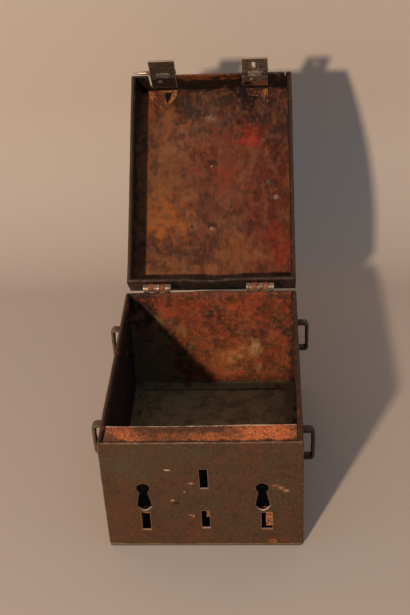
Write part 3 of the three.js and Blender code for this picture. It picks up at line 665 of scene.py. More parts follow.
# Sheet iron inside the body: red and orange oxide in thick clouds over dark brown, ochre lower down,
# and dusty along the floor; quite matt. Painted shade darkens the side walls and the rear wall's upper
# left corner, and painted light brightens the shaded lower left of the rear wall
wall_iron = aged_iron(
    "red_oxide_sheet_iron",
    "#60301B",
    [
        cloud("#4B2B18", 24, 0.50, 0.12, 0.85),
        cloud("#73402A", 15, 0.54, 0.12, 0.55),
        patch("#743019", (12, 12, 14), 0.38, 0.18, 0.80, (-18, REAR, 86), (52, 6, 26)),
        patch("#9A421E", (6, 6, 9), 0.40, 0.14, 0.85, (-41, REAR, 88), (10, 6, 13)),
        patch("#7C3218", (7, 7, 9), 0.42, 0.14, 0.80, (22, REAR, 84), (34, 6, 20)),
        patch("#A8481A", (5, 5, 9), 0.46, 0.10, 0.90, (29, REAR, 87), (16, 6, 14)),
        patch("#3A2411", 7, 0.38, 0.14, 0.85, (4, REAR, 83), (11, 6, 8)),
        cloud("#4A2C16", 14, 0.40, 0.16, 0.80, (60, REAR, 82), (20, 6, 30)),
        patch("#985628", 10, 0.38, 0.16, 0.85, (18, REAR, 30), (24, 6, 22)),
        patch("#7F4727", 9, 0.42, 0.14, 0.75, (-6, REAR, 36), (14, 6, 20)),
        patch("#C27F4A", (4, 4, 7), 0.42, 0.14, 0.85, (17, REAR, 31), (10, 6, 13)),
        patch("#8A4A24", 8, 0.44, 0.14, 0.70, (50, REAR, 22), (26, 6, 16)),
        cloud("#863419", (10, 10, 13), 0.53, 0.12, 0.75),
        cloud("#33200F", 15, 0.54, 0.12, 0.70),
        patch("#9C4420", (5, 5, 7), 0.58, 0.10, 0.60),
        patch("#94603A", 4, 0.59, 0.10, 0.40),
        patch("#C0683A", 2.4, 0.62, 0.08, 0.35, (10, REAR, 60), (70, 6, 60)),
        patch("#2A160D", 2.8, 0.60, 0.08, 0.45),
        patch("#A87C52", (4, 4, 5), 0.40, 0.12, 0.90, (38, REAR, 43), (5.5, 6, 7.5)),
        patch("#94683E", 4, 0.42, 0.12, 0.80, (40, REAR, 20), (4.2, 6, 4.2)),
        patch("#98502C", 4, 0.46, 0.12, 0.80, (54, REAR, 53), (6, 6, 7)),
        patch("#8A5E34", 4, 0.46, 0.12, 0.70, (-27, REAR, 63), (4, 6, 6)),
        # Painted shade on the inner faces of the left and right walls
        patch("#1E1710", 14, 0.26, 0.15, 0.94, (-77, 0, 56), (11, 220, 150), 0.3),
        patch("#2A1D14", 14, 0.28, 0.15, 0.90, (77, 0, 56), (10, 220, 150), 0.3),
        # Painted light: the lower left of the rear wall, in the left wall's shadow, made lighter in place of
        # the light that reaches it
        patch("#6A5436", 14, 0.28, 0.14, 0.90, (-72, REAR, 16), (38, 6, 58), 0.4),
        # Painted shadow in the rear wall's upper left corner, widening the left wall's shadow there
        patch("#24160E", 9, 0.20, 0.12, 0.92, (-67, REAR, 104), (17, 6, 16), 0.3),
        patch("#24160E", 9, 0.28, 0.12, 0.80, (-55, REAR, 85), (8, 6, 13), 0.3),
        patch("#7A6343", 20, 0.24, 0.12, 0.95, (0, 0, 0), (190, 260, 5.5), 0.3),
    ],
    bare="#7E563A",
    worn=0.84,
    metal=0.0,
    rough=(0.6, 0.85),
    shine=0.25,
)

# Sheet iron inside the lid: brown oxide in wide soft clouds, ochre on the left, red on the right,
# grey where it was handled near the hasps, darker on the front skirt, along the hems and in the fork's
# eye; quite matt. Painted shade darkens the left skirt, and painted shadow lies next to the right hasp.
# With more than 43 layers the renderer draws it black
lid_iron = aged_iron(
    "brown_oxide_sheet_iron",
    "#64371F",
    [
        cloud("#77462A", (17, 22, 17), 0.52, 0.14, 0.60),
        cloud("#4F2816", (15, 20, 15), 0.53, 0.13, 0.60),
        cloud("#7A4724", (20, 30, 20), 0.36, 0.16, 0.85, (-47, 4, 132), (24, 80, 12)),
        patch("#9A5019", (14, 18, 14), 0.40, 0.15, 0.90, (-44, 36, 132), (20, 28, 12)),
        patch("#8A5434", 9, 0.36, 0.16, 0.80, (-33, -47, 132), (13, 13, 12)),
        cloud("#33251D", (18, 18, 18), 0.28, 0.14, 0.94, (-4, -79, 132), (33, 26, 12), 0.35),
        # Dark red-brown oxide, and over it painted shadow next to the right hasp
        patch("#4A2012", (10, 14, 10), 0.30, 0.16, 0.90, (32, -66, 132), (13, 30, 12), 0.4),
        # Painted shadow next to the right hasp
        cloud("#190A05", 14, 0.28, 0.14, 0.94, (33, -84, 132), (12, 28, 12), 0.35),
        cloud("#271B17", 14, 0.30, 0.16, 0.95, (61, -58, 132), (18, 54, 12), 0.4),
        patch("#4A241A", (10, 14, 10), 0.42, 0.16, 0.85, (58, -16, 132), (20, 40, 12)),
        patch("#5A200E", (12, 18, 12), 0.38, 0.14, 0.92, (58, 34, 132), (24, 84, 12)),
        patch("#5C2412", (8, 16, 8), 0.42, 0.15, 0.80, (42, 22, 132), (13, 48, 12)),
        patch("#3E2011", (30, 8, 20), 0.40, 0.14, 0.88, (-30, 65, 132), (48, 13, 12)),
        patch("#7E4722", (26, 5, 20), 0.38, 0.14, 0.85, (-28, 83, 132), (52, 6, 12)),
        patch("#87481C", (12, 16, 12), 0.42, 0.14, 0.85, (24, 70, 132), (19, 19, 12)),
        patch("#6E2C18", (11, 13, 11), 0.45, 0.14, 0.75, (10, -30, 132), (36, 34, 12)),
        cloud("#34190E", (9, 12, 9), 0.56, 0.13, 0.60),
        cloud("#8F5A38", (8, 11, 8), 0.58, 0.13, 0.35),
        patch("#7A2C16", (6, 8, 6), 0.58, 0.12, 0.50, (20, 0, 132), (60, 100, 12)),
        patch("#A04C22", (3.5, 6, 3.5), 0.62, 0.08, 0.40),
        patch("#2A150C", (3, 4, 3), 0.62, 0.08, 0.45),
        patch("#7E583C", (1.1, 16, 1.1), 0.60, 0.08, 0.22),
        patch("#A5321A", 6, 0.44, 0.14, 0.90, (34, -47, 132), (9, 9, 9)),
        patch("#84311D", 7, 0.47, 0.14, 0.85, (11, -9, 132), (10, 13, 9)),
        patch("#8E2C12", 7, 0.49, 0.12, 0.85, (62, 66, 132), (11, 14, 9)),
        patch("#7E2812", 7, 0.50, 0.12, 0.80, (53, 45, 132), (13, 11, 9)),
        cloud("#34180B", 12, 0.38, 0.16, 0.88, (-50, -87, 132), (22, 16, 12)),
        patch("#8A4E28", (4, 12, 4), 0.42, 0.12, 0.75, (-42, -72, 132), (7, 15, 9)),
        patch("#8C4518", (4, 12, 4), 0.40, 0.12, 0.85, (-61, -84, 132), (6, 18, 9)),
        patch("#966F4C", 1.6, 0.44, 0.10, 0.80, (-3, -67, 132), (5.0, 3.4, 8)),
        patch("#3A1408", 3, 0.30, 0.12, 0.85, (-1.6, -22.8, 132), (4.6, 2.6, 8), 0.3),
        patch("#3A1C0A", 3, 0.30, 0.12, 0.85, (-1.6, 38.8, 132), (4.6, 2.6, 8), 0.3),
        patch("#22170F", 14, 0.22, 0.12, 0.92, (0, 0, 106), (190, 260, 8), 0.4),
        patch("#190E08", 12, 0.24, 0.12, 0.95, (0, FRONT, 119), (150, 5, 24), 0.3),
        patch("#83441D", 7, 0.42, 0.12, 0.85, (-2, FRONT, 107), (34, 5, 6)),
        # Painted shade on the left skirt's inner face
        patch("#282318", 20, 0.26, 0.15, 0.90, (-75, 0, 118), (5, 130, 24), 0.4),
        patch("#0D0806", 4, 0.30, 0.10, 1.00, (-42.0, -92.0, 132), (4.6, 7, 9), 0.3),
        # Painted shadow of the right hasp and skirt on the plate
        patch("#120A06", 10, 0.24, 0.12, 0.90, (34, -92, 132), (16, 6.5, 6), 0.4),
    ],
    bare="#6E4A30",
    worn=0.84,
    rough=(0.62, 0.88),
    metal=0.0,
    shine=0.22,
)

# The floor inside: a film of pale dust, thicker in clouds 26 wide, over dark brown oxide
floor_iron = aged_iron(
    "dusty_oxide_sheet_iron",
    "#93754B",
    [
        patch("#A58656", 26, 0.50, 0.12, 0.8),
        patch("#6A5234", 11, 0.53, 0.10, 0.8),
        patch("#A08A62", 3.5, 0.59, 0.07, 0.5),
        patch("#523A26", 2.6, 0.61, 0.06, 0.5),
    ],
    bare="#A08A68",
    worn=0.75,
)

# The ledge over the locks: brown, with fresh orange rust in three places, full of bright specks 1.8
# wide, a dark line along the front panel and a rubbed, pale rear lip
ledge_iron = aged_iron(
    "orange_rust_sheet_iron",
    "#6E4026",
    [
        patch("#5B3220", (12, 8, 12), 0.50, 0.12, 0.80),
        patch("#4E2B1B", (9, 5, 5), 0.40, 0.14, 0.85, (-10, -81, LEDGE_TOP), (54, 7, 9)),
        patch("#AD5E40", 5, 0.36, 0.14, 0.85, (-66, -84, LEDGE_TOP), (8, 6, 9)),
        patch("#D2652C", 5, 0.34, 0.13, 0.95, (-57, -88, LEDGE_TOP), (7, 6, 9)),
        patch("#C4622E", 5, 0.36, 0.13, 0.95, (-48, -94, LEDGE_TOP), (7, 5, 9)),
        patch("#9C5028", (6, 4, 5), 0.40, 0.13, 0.85, (-8, -93, LEDGE_TOP), (34, 6, 9)),
        patch("#CC6630", (6, 4, 5), 0.42, 0.12, 0.90, (11, -93, LEDGE_TOP), (13, 5, 9)),
        patch("#A9582E", (8, 8, 8), 0.38, 0.14, 0.90, (47, -89, LEDGE_TOP), (25, 12, 9)),
        patch("#DC6C30", 5, 0.38, 0.12, 0.95, (39, -89, LEDGE_TOP), (9, 11, 9)),
        patch("#DC6C30", 5, 0.38, 0.12, 0.95, (57, -88, LEDGE_TOP), (10, 11, 9)),
        patch("#6E4A2A", 6, 0.38, 0.14, 0.80, (72, -88, LEDGE_TOP), (6, 14, 9)),
        patch("#63351F", 3.4, 0.55, 0.10, 0.65),
        patch("#FF9E66", 1.8, 0.55, 0.09, 0.80, (48, -89, LEDGE_TOP), (20, 11, 9)),
        patch("#FF9A62", 1.8, 0.55, 0.09, 0.80, (-54, -91, LEDGE_TOP), (11, 7, 9)),
        patch("#E08C54", 1.6, 0.58, 0.08, 0.60, (0, -93, LEDGE_TOP), (36, 6, 9)),
        patch("#A87848", 1.4, 0.58, 0.08, 0.45),
        patch("#3A2116", 1.3, 0.59, 0.08, 0.55),
        patch("#3A2216", (40, 2.2, 6), 0.34, 0.12, 0.85, (0, -97.6, LEDGE_TOP), (100, 2.4, 9), 0.4),
        patch("#D2B090", (8, 2, 2), 0.38, 0.12, 0.85, (0, -79.1, LEDGE_TOP), (120, 0.9, 9), 0.3),
    ],
    bare="#A8825E",
    worn=0.7,
    rough=(0.6, 0.85),
    metal=0.0,
    shine=0.3,
)

# Forged loops: dark hammer scale in flakes 4 to 9 wide, smooth enough to gleam, rubbed on the edges
forged_iron = aged_iron(
    "dark_forged_iron",
    "#43372C",
    [
        patch("#564939", 9, 0.50, 0.10, 0.8),
        patch("#2E251E", 4, 0.56, 0.08, 0.7),
        patch("#5E3A26", 2.4, 0.61, 0.06, 0.6),
        patch("#7C6E5C", 1.4, 0.61, 0.05, 0.45),
        # Painted light: the left loops, which face the lamp, made lighter
        patch("#7E624A", 9, 0.40, 0.14, 0.60, (-84, 0, 86), (7, 110, 26)),
    ],
    bare="#A8917A",
    rough=(0.42, 0.7),
    metal=0.3,
    scale=(3.0, 0.14),
)

# Hasps: greyish iron, lighter and more handled than the loops, with brown in pits 1 to 4 wide, darker
# on the left hasp, with painted shade on the leaves behind the skirt, where light doesn't reach
hasp_iron = aged_iron(
    "handled_grey_iron",
    "#5E4C3C",
    [
        patch("#7C6852", 6, 0.50, 0.10, 0.8),
        patch("#3E2F25", 4, 0.53, 0.09, 0.85),
        patch("#A08A72", 1.8, 0.58, 0.07, 0.6),
        patch("#63402A", 2.4, 0.57, 0.07, 0.7),
        patch("#241B15", 1.4, 0.60, 0.06, 0.8),
        patch("#33281E", 9, 0.28, 0.14, 0.70, (HASPS["left"], -102, 95), (15, 12, 40)),
        # Painted shade on the left leaf behind the skirt
        patch("#20160F", 9, 0.26, 0.12, 0.90, (HASPS["left"], -98.5, 116), (16, 2.6, 15), 0.3),
        # Painted shade on the lower part of the right leaf
        patch("#21140C", 6, 0.18, 0.12, 0.95, (31, -98.5, 122), (7.5, 3, 6), 0.3),
        patch("#7E4822", 4, 0.20, 0.12, 0.95, (46, -98.5, 121), (9, 3, 5.5), 0.3),
    ],
    bare="#A88E76",
    worn=0.6,
    rough=(0.45, 0.7),
    metal=0.2,
    pits=(1.1, 0.16),
    scale=(3.2, 0.30),
)

# Iron polished by handling, on knuckles, pins and the nail: light, with a soft metallic gleam and dark
# spots 1 to 3 wide
handled_iron = aged_iron(
    "hand_polished_iron",
    "#9A7C62",
    [
        patch("#6C5240", 3.0, 0.50, 0.10, 0.8),
        patch("#CBA988", 2.0, 0.56, 0.08, 0.7),
        patch("#4E3022", 1.3, 0.58, 0.06, 0.75),
        patch("#BC9C82", 3, 0.24, 0.12, 0.85, (-66, HASP_AXIS[0], HASP_AXIS[1]), (8, 5, 5), 0.3),
    ],
    bare="#E2C4A4",
    rough=(0.28, 0.5),
    metal=0.6,
    pits=(0.7, 0.05),
    scale=(2.0, 0.06),
)

# Rivets filed level with the sheet, as dull as what is round them, each with the photo's own tone
dull_iron = aged_iron(
    "dull_brown_iron",
    "#644530",
    [
        patch("#846242", 2.4, 0.50, 0.10, 0.8),
        patch("#2E1F16", 1.6, 0.54, 0.08, 0.8),
        mark("#241B16", (52.5, -2.5, LID_TOP), (6, 6, 8), 1.0),
        mark("#8A7460", (58.8, 12.6, LID_TOP), (6, 6, 8), 0.9),
        mark("#241812", (-19.2, 40.7, LID_TOP), (6, 6, 8), 1.0),
        # Painted highlight on the plug at -0.8, -18.9
        mark("#B27E6C", (-0.8, -18.9, LID_TOP), (6, 6, 8), 1.0),
        mark("#9C6C50", (-0.8, 42.6, LID_TOP), (6, 6, 8), 1.0),
    ],
    bare="#8C6C50",
    worn=0.9,
    rough=(0.7, 0.9),
    metal=0.0,
)

# Heavily rusted iron, on brackets and the lid's hinge leaves: orange and brown flakes 4 to 7 wide with
# pits and grains 1 to 2 wide, quite without gleam
scaled_iron = aged_iron(
    "scaled_rust_iron",
    "#8A4A22",
    [
        patch("#A8602A", 7, 0.48, 0.10, 0.85),
        patch("#54301C", 4, 0.54, 0.08, 0.8),
        patch("#C98450", 2.0, 0.60, 0.06, 0.6),
        patch("#3A241A", 1.3, 0.64, 0.05, 0.6),
        patch("#7A4632", 3, 0.30, 0.12, 0.80, (0, PIVOT[0], PIVOT[1]), (90, 6, 6), 0.3),
        patch("#50220E", 6, 0.22, 0.14, 0.85, (-50, -88, 132), (6, 14, 9), 0.3),
        # Painted shadow of the right hasp and skirt on the hook bracket
        patch("#2A180D", 8, 0.18, 0.12, 0.92, (38, -92, 132), (10.5, 10, 9), 0.25),
        patch("#2A180D", 8, 0.18, 0.12, 0.90, (47, -81.5, 132), (14, 6.5, 9), 0.25),
    ],
    bare="#A8683A",
    worn=0.75,
    rough=(0.6, 0.9),
    metal=0.0,
    pits=(0.8, 0.14),
    shine=0.3,
)

# Sheared and rubbed edges of the sheets: a thin line lighter than the faces, dark along the lid's rim
edge_iron = aged_iron(
    "rubbed_sheet_edge",
    "#664630",
    [
        patch("#8A6648", 7, 0.52, 0.10, 0.8),
        patch("#4A3222", 3, 0.54, 0.08, 0.8),
        patch("#A88666", 2.0, 0.62, 0.06, 0.7),
        patch("#2C1E16", 9, 0.24, 0.12, 0.95, (0, FRONT, RIM), (110, 5, 5), 0.3),
        patch("#7E4722", 6, 0.38, 0.14, 0.85, (-2, FRONT, RIM), (28, 5, 5)),
        patch("#C8A688", (6, 2, 2), 0.42, 0.12, 0.85, (0, PARTITION_BACK, LEDGE_TOP), (76, 3.5, 4), 0.3),
    ],
    bare="#8E6C50",
    worn=1.6,
    metal=0.2,
)

# Inside the lock compartment and along the floor's edge: iron under old grease and dirt, near black,
# its colour made lighter as painted light for the compartment's deep shade
greased_iron = aged_iron(
    "greased_dark_iron",
    "#3C3B32",
    [
        patch("#4C4A3E", 12, 0.50, 0.10, 0.8),
        patch("#4E3424", 5, 0.60, 0.08, 0.7),
    ],
    bare="#4A4236",
    metal=0.0,
    shine=0.3,
)

# Edges of the keyholes and slots and of the panel's top, brightest where keys and the light reach:
# rubbed by keys, with painted highlights along the panel's top and on the openings' lower edges
bright_edge = aged_iron(
    "rubbed_opening_edge_painted_highlight",
    "#59402F",
    [
        patch("#765841", 4, 0.52, 0.10, 0.7),
        patch("#3A281D", 2.2, 0.56, 0.08, 0.7),
        patch("#8F6A4E", (9, 3, 3), 0.45, 0.14, 0.8, (0, FRONT, WALL_TOP), (90, 9, 4), 0.3),
        # Painted highlight along the top of the front panel
        patch("#B8937A", (5, 1.5, 1.5), 0.58, 0.07, 0.7, (0, FRONT, WALL_TOP), (90, 9, 4), 0.3),
        patch("#3A281B", 9, 0.28, 0.12, 0.92, (-75, FRONT, 50), (7, 9, 50), 0.3),
        patch("#3A281B", 9, 0.28, 0.12, 0.92, (75, FRONT, 50), (7, 9, 50), 0.3),
        # Painted highlights, over rubbing by keys, on the lower edges of the keyholes and slots
        patch("#D2B29C", 4, 0.30, 0.10, 0.95, (-44.5, FRONT, 38.0), (9.0, 9, 3.8), 0.3),
        patch("#EBC4A8", 4, 0.30, 0.10, 0.95, (44.5, FRONT, 38.0), (9.0, 9, 3.8), 0.3),
        patch("#CAA27E", 4, 0.30, 0.10, 0.90, (-44.5, FRONT, 16.6), (6.0, 9, 2.6), 0.3),
        patch("#B68360", 4, 0.30, 0.10, 0.90, (47.3, FRONT, 17.4), (7.0, 9, 2.6), 0.3),
        patch("#B8957E", 4, 0.30, 0.10, 0.90, (1.0, FRONT, 59.2), (6.0, 9, 2.6), 0.3),
        patch("#D9AD8B", 4, 0.30, 0.10, 0.90, (1.0, FRONT, 18.4), (6.0, 9, 2.6), 0.3),
    ],
    bare="#8C6A4E",
    worn=1.6,
    rough=(0.4, 0.6),
    metal=0.1,
)

# The same forged and rusted finishes, and dark blued steel for the springs, for nodes of the packed
# model, which have no drawn places
forged_node = aged_iron(
    "dark_forged_iron_hidden",
    "#3A3028",
    [
        patch("#4A3F33", 9, 0.50, 0.10, 0.8),
        patch("#2A221C", 4, 0.56, 0.08, 0.7),
        patch("#5E3A26", 2.4, 0.61, 0.06, 0.6),
    ],
    metal=0.3,
    drawn=False,
)
scaled_node = aged_iron(
    "scaled_rust_iron_bolts",
    "#8E4E28",
    [
        patch("#B56C38", 5, 0.48, 0.10, 0.85),
        patch("#4A2C1C", 3, 0.52, 0.08, 0.85),
        patch("#D8955C", 1.6, 0.56, 0.06, 0.8),
        patch("#2A1810", 1.2, 0.58, 0.06, 0.8),
    ],
    rough=(0.6, 0.9),
    metal=0.0,
    pits=(0.8, 0.14),
    drawn=False,
    shine=0.3,
)
spring_node = aged_iron(
    "blued_spring_steel",
    "#4E4844",
    [
        patch("#6A625C", 3, 0.52, 0.08, 0.7),
        patch("#6B3E28", 1.8, 0.6, 0.06, 0.7),
    ],
    rough=(0.3, 0.5),
    metal=0.8,
    drawn=False,
)


# Sheets of the body


def running_along_x(at):
    """Places of a sheet that is bent in Y and Z, as at gives it, and runs along X."""
    return lambda length, x: (x, *at(length))


def bounded(points):
    """Hand-worked points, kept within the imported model's outer faces."""
    return inside_frame(hand_worked(points))


def body_sheet(name, parts, finishes, facing, edge=ROUNDED):
    """The piece that dresses a sheet of the body."""
    piece(f"{name}_sheet", "body", parts, finishes, [name], SHEET, edge, facing)


def hemmed_line(foot, outer):
    """Lengths along a wall's bent line, the line, and the length at which its hem starts.

    The line runs out over the floor from the foot's end, up, in along the rim and down the hem.
    """
    hem, rim = outer - 2 * HEM_TURN, WALL_TOP - HALF_SHEET
    corners = [(foot, FOOT_MIDDLE), (outer, FOOT_MIDDLE), (outer, rim), (hem, rim), (hem, HEM_LOW)]
    lengths, at = along(rounded_line(corners, (FOLD_TURN, HEM_TURN, HEM_TURN)), 1.3)
    return lengths, at, lengths[np.argmax(at(lengths)[1])]


def narrowed(at, in_upper, widest):
    """Keeps the cells of a sheet that is narrower at its foot, and in its upper part, for other folds."""

    def keep(length, x):
        above = np.where(in_upper(length), BETWEEN_HEMS, widest)
        return np.abs(x) < np.where(at(length)[1] < FOOT_ZONE, FOOT_HALF, above)

    return keep


def folded_finishes(outside, inside):
    """Finishes of a sheet, of its folded hem, whose outer side faces in, and of tabs that lie inside."""
    return [outside, inside, edge_iron, inside, outside, edge_iron, inside, inside, inside]


def mark_hem(part, lengths, widths, keep, hem_start):
    """Gives the kept cells of a sheet's hem, past the length where it starts, the second set of finishes."""
    length = 0.5 * (lengths[1:] + lengths[:-1])[:, None] * np.ones(len(widths) - 1)
    width = 0.5 * (widths[1:] + widths[:-1])[None, :] * np.ones((len(lengths) - 1, 1))
    hem = length > hem_start
    part["finish"] = 3 * (hem[keep(length, width)] if keep else hem).astype(int).ravel()


def keyhole(x):
    """A round head over a waisted slot that flares to a curved foot, a parabola between its two corners."""
    head_z, head_radius, opened = 59.8, 5.0, 51.7
    foot_half, foot_z, pulled_to = 5.7, 41.7, 32.5
    head = circle_line((x, head_z), head_radius, -opened, 180 + opened, 26)
    left, right = np.array([[x - foot_half, foot_z], [x + foot_half, foot_z]])
    share = np.linspace(0, 1, 9)[:, None]
    low = np.array([x, pulled_to])
    foot = (1 - share) ** 2 * left + 2 * share * (1 - share) * low + share**2 * right
    return np.concatenate([head, foot])


def front_panel():
    """An upright sheet, its foot folded in over the floor, with two keyholes and four slots."""
    middle, step = FRONT + HALF_SHEET, 0.85
    line = rounded_line([(-FOOT_END, FOOT_MIDDLE), (middle, FOOT_MIDDLE), (middle, WALL_TOP)], FOLD_TURN)
    lengths, at = along(line, step)
    rise = lengths[-1] - WALL_TOP
    openings = [keyhole(x) for x in KEYHOLES] + [rectangle(*slot) for slot in SLOTS.values()]
    across = np.ravel([slot[:2] for slot in SLOTS.values()])
    heights = np.ravel([slot[2:] for slot in SLOTS.values()]) + rise
    lines_x = grid_lines(-HALF_WIDTH, HALF_WIDTH, step, [*across, -FOOT_HALF, FOOT_HALF])
    lengths = well_apart(np.sort(np.concatenate([lengths, heights, lengths[-1] - np.array(TIGHT)])))

    def clear(length, x):
        return np.minimum.reduce([outline_distance(x, length - rise, outline) for outline in openings])

    def keep(length, x):
        return (length - rise > FOOT_ZONE) | (np.abs(x) < FOOT_HALF)

    part = sheet_part(lengths, lines_x, running_along_x(at), keep, clear, bounded)
    body_sheet("front_panel", [part], [shell_iron, wall_iron, bright_edge], FORWARD)


def side_wall(side, name):
    """A wall with its foot folded in and its rim turned to a hem, and the tabs at its two corners."""
    lengths, at, hem_start = hemmed_line(FOOT_INNER, HALF_WIDTH - HALF_SHEET)
    lines_y = grid_lines(FRONT + SHEET, REAR - SHEET, 1.4)

    def place(length, y):
        x, z = at(length)
        return side * x, y, z

    wall = sheet_part(lengths, lines_y, place, bend=bounded)
    mark_hem(wall, lengths, lines_y, None, hem_start)
    tab_inner, tab_outer, tab_foot, front_top, rear_top = 65.4, 73.8, 1.8, 100.8, 96.7
    tabs = []
    for tab_y, tab_top in ((FRONT + 1.5 * SHEET, front_top), (REAR - 1.5 * SHEET, rear_top)):
        across = grid_lines(tab_inner, tab_outer, 1.4)
        up = grid_lines(tab_foot, tab_top, 2.0)
        tab = sheet_part(across, up, lambda x, z, y=tab_y: (side * x, np.full_like(x, y), z))
        tab["finish"][:] = 6
        tab["wear"] = 0 * tab["wear"]
        tabs.append(tab)
    body_sheet(name, [wall, *tabs], folded_finishes(shell_iron, wall_iron), (side, 0, 0))


def rear_wall():
    """Folded like a side wall, its foot and hem ending short of the side walls' folds."""
    lengths, at, hem_start = hemmed_line(FOOT_END, REAR - HALF_SHEET)
    folds = [-BETWEEN_HEMS, BETWEEN_HEMS, -FOOT_HALF, FOOT_HALF]
    lines_x = grid_lines(-HALF_WIDTH, HALF_WIDTH, 1.3, folds)
    keep = narrowed(at, lambda length: length > hem_start, HALF_WIDTH)
    part = sheet_part(lengths, lines_x, running_along_x(at), keep, bend=bounded)
    mark_hem(part, lengths, lines_x, keep, hem_start)
    body_sheet("rear_wall", [part], folded_finishes(shell_iron, wall_iron), BACK)


def lock_partition():
    """An upright sheet with its foot and, under the ledge, its lip folded forward."""
    plane, half = PARTITION_BACK - HALF_SHEET, 73.1
    foot_end, lip_end, lip_z, lip_zone = -89.6, -87.6, 100.1, 96.7
    corners = [(foot_end, FOOT_MIDDLE), (plane, FOOT_MIDDLE), (plane, lip_z), (lip_end, lip_z)]
    lengths, at = along(rounded_line(corners, FOLD_TURN), 1.6)
    lines_x = grid_lines(-half, half, 1.6, [-BETWEEN_HEMS, BETWEEN_HEMS, -FOOT_HALF, FOOT_HALF])
    keep = narrowed(at, lambda length: at(length)[1] > lip_zone, half)
    part = sheet_part(lengths, lines_x, running_along_x(at), keep)
    body_sheet("lock_partition", [part], [wall_iron, greased_iron, edge_iron], BACK)


def lock_ledge():
    """A flat strip whose rear edge is worn to a low, wavy lip.

    The lip's share is the square of the way over its width, from 0 to 1 at the rear edge.
    """
    lip_width, lip_height, frayed = 2.2, 0.45, 0.35
    lines_y = grid_lines(FRONT + SHEET, PARTITION_BACK, 0.9, tight=(*TIGHT, 1.8))
    lines_x = grid_lines(-BETWEEN_HEMS, BETWEEN_HEMS, 1.0)
    middle = LEDGE_TOP - HALF_SHEET

    def place(y, x):
        flat = np.stack([x, y * 0, y * 0], -1)
        wave = 0.35 * field(flat, 26, SEEDS["ledge"]) + 0.18 * field(flat, 9, SEEDS["ledge"] + 1)
        lip = np.clip((y - PARTITION_BACK + lip_width) / lip_width, 0, 1) ** 2
        return x, y + frayed * wave * lip, middle + lip * (lip_height + wave)

    part = sheet_part(lines_y, lines_x, place)
    body_sheet("lock_ledge", [part], [ledge_iron, ledge_iron, edge_iron], UP, 0.35)


def floor_plate():
    """A rectangle whose corner squares are mapped onto quarter circles.

    A point past both corner lines is drawn in along its ray, by its larger way past over its distance.
    """
    lines_x = grid_lines(-HALF_WIDTH, HALF_WIDTH, 2.0)
    lines_y = grid_lines(FRONT, REAR, 2.0)
    corner_x, corner_y = HALF_WIDTH - FLOOR_CORNER, REAR - FLOOR_CORNER

    def place(x, y):
        past_x, past_y = np.abs(x) - corner_x, np.abs(y) - corner_y
        shrink = np.maximum(past_x, past_y) / (np.hypot(past_x, past_y) + 1e-9)
        shrink = np.where((past_x > 0) & (past_y > 0), shrink, 1)
        x, y = np.sign(x) * (past_x * shrink + corner_x), np.sign(y) * (past_y * shrink + corner_y)
        return x, y, np.full_like(x, HALF_SHEET)

    def bowed(points):
        """Only the middle is bent, and only upwards, so the plate still stands level."""
        seed, level_rim, blend_width = SEEDS["floor"], 6, 12
        moved = np.array(points, float)
        moved[..., 2] += 0.25 * (1 + field(points, 40, seed)) + 0.05 * field(points, 9, seed + 1)
        rim = np.minimum(HALF_WIDTH - np.abs(points[..., 0]), REAR - np.abs(points[..., 1]))
        blend = np.clip((rim - level_rim) / blend_width, 0, 1)[..., None]
        return points + (moved - points) * blend

    part = sheet_part(lines_x, lines_y, place, bend=bowed)
    body_sheet("floor_plate", [part], [floor_iron, shell_iron, greased_iron], UP)


# Strap loops


def strap_loop(name, side, y):
    """A forged bar bent to a U, its legs in the wall and their peened ends inside.

    The bar's section is carried with one side along Y and the other square to that and to the line.
    """
    reach, half_span, bend, half_wide, half_thick, furthest = 7.9, 13.0, 2.6, 3.75, 1.5, HALF_WIDTH + 9.4
    start, outer = HALF_WIDTH - 1.0, HALF_WIDTH + reach
    low, high, head_x = LOOP_MIDDLE - half_span, LOOP_MIDDLE + half_span, side * 73.3
    corners = [(start, low), (outer, low), (outer, high), (start, high)]
    lengths, at = along(rounded_line(corners, bend, 8), 0.8)
    x, z = at(lengths)
    centre = np.stack([side * x, np.full_like(x, y), z], 1)
    way = np.gradient(centre, axis=0)
    way /= np.linalg.norm(way, axis=1)[:, None]
    across = np.tile([0.0, 1.0, 0.0], (len(lengths), 1))
    up = np.cross(way, across)
    sides = 24
    part = bar_part(centre, half_wide, half_thick, (across, up), wear=0.12, sides=sides)
    part["points"] = pushed(part["points"], [(9, 0.22), (3, 0.08)], SEEDS["loops"])
    part["points"][:, 0] = np.clip(part["points"][:, 0], -furthest, furthest)
    peened = [(0, 0.9), (1.6, 0.8), (2.6, 0.45), (3.1, 0.0), (3.1, -0.5), (0, -0.5)]
    heads = [turned_part(peened, (head_x, y, height), (-side, 0, 0), 20, 0.3) for height in (low, high)]
    parts = [capped(sides + 1, part), *heads]
    piece(f"{name}_loop_bar", "body", parts, [forged_iron], [f"{name}_loop"])


# Rivets


def dome(height, radius, count=6):
    """A low round head from its pole to its rim."""
    angle = np.linspace(0, np.pi / 2, count)
    return np.stack([radius * np.sin(angle), height * np.cos(angle)], 1)


def rivet_part(at, way, grip, seed, inner):
    """A shank between two hammered heads, set in from a point on the outer face.

    Each head is a quarter of an ellipse, turned. inner is the height of the far head.
    """
    sunk, narrower = 0.1, 0.94
    top = dome(RIVET_HEIGHT + 2 * sunk, RIVET_HEAD)
    top[:, 1] = -sunk - top[:, 1]
    end = dome(inner + sunk, RIVET_HEAD * narrower)[::-1]
    end[:, 1] = grip + sunk + end[:, 1]
    shank = [(RIVET_SHANK, 0.0), (RIVET_SHANK, grip)]
    part = turned_part(np.concatenate([top, shank, end]), at, way, 22, 0.1)
    part["points"] = pushed(part["points"], [(2.2, 0.10)], seed)
    return part


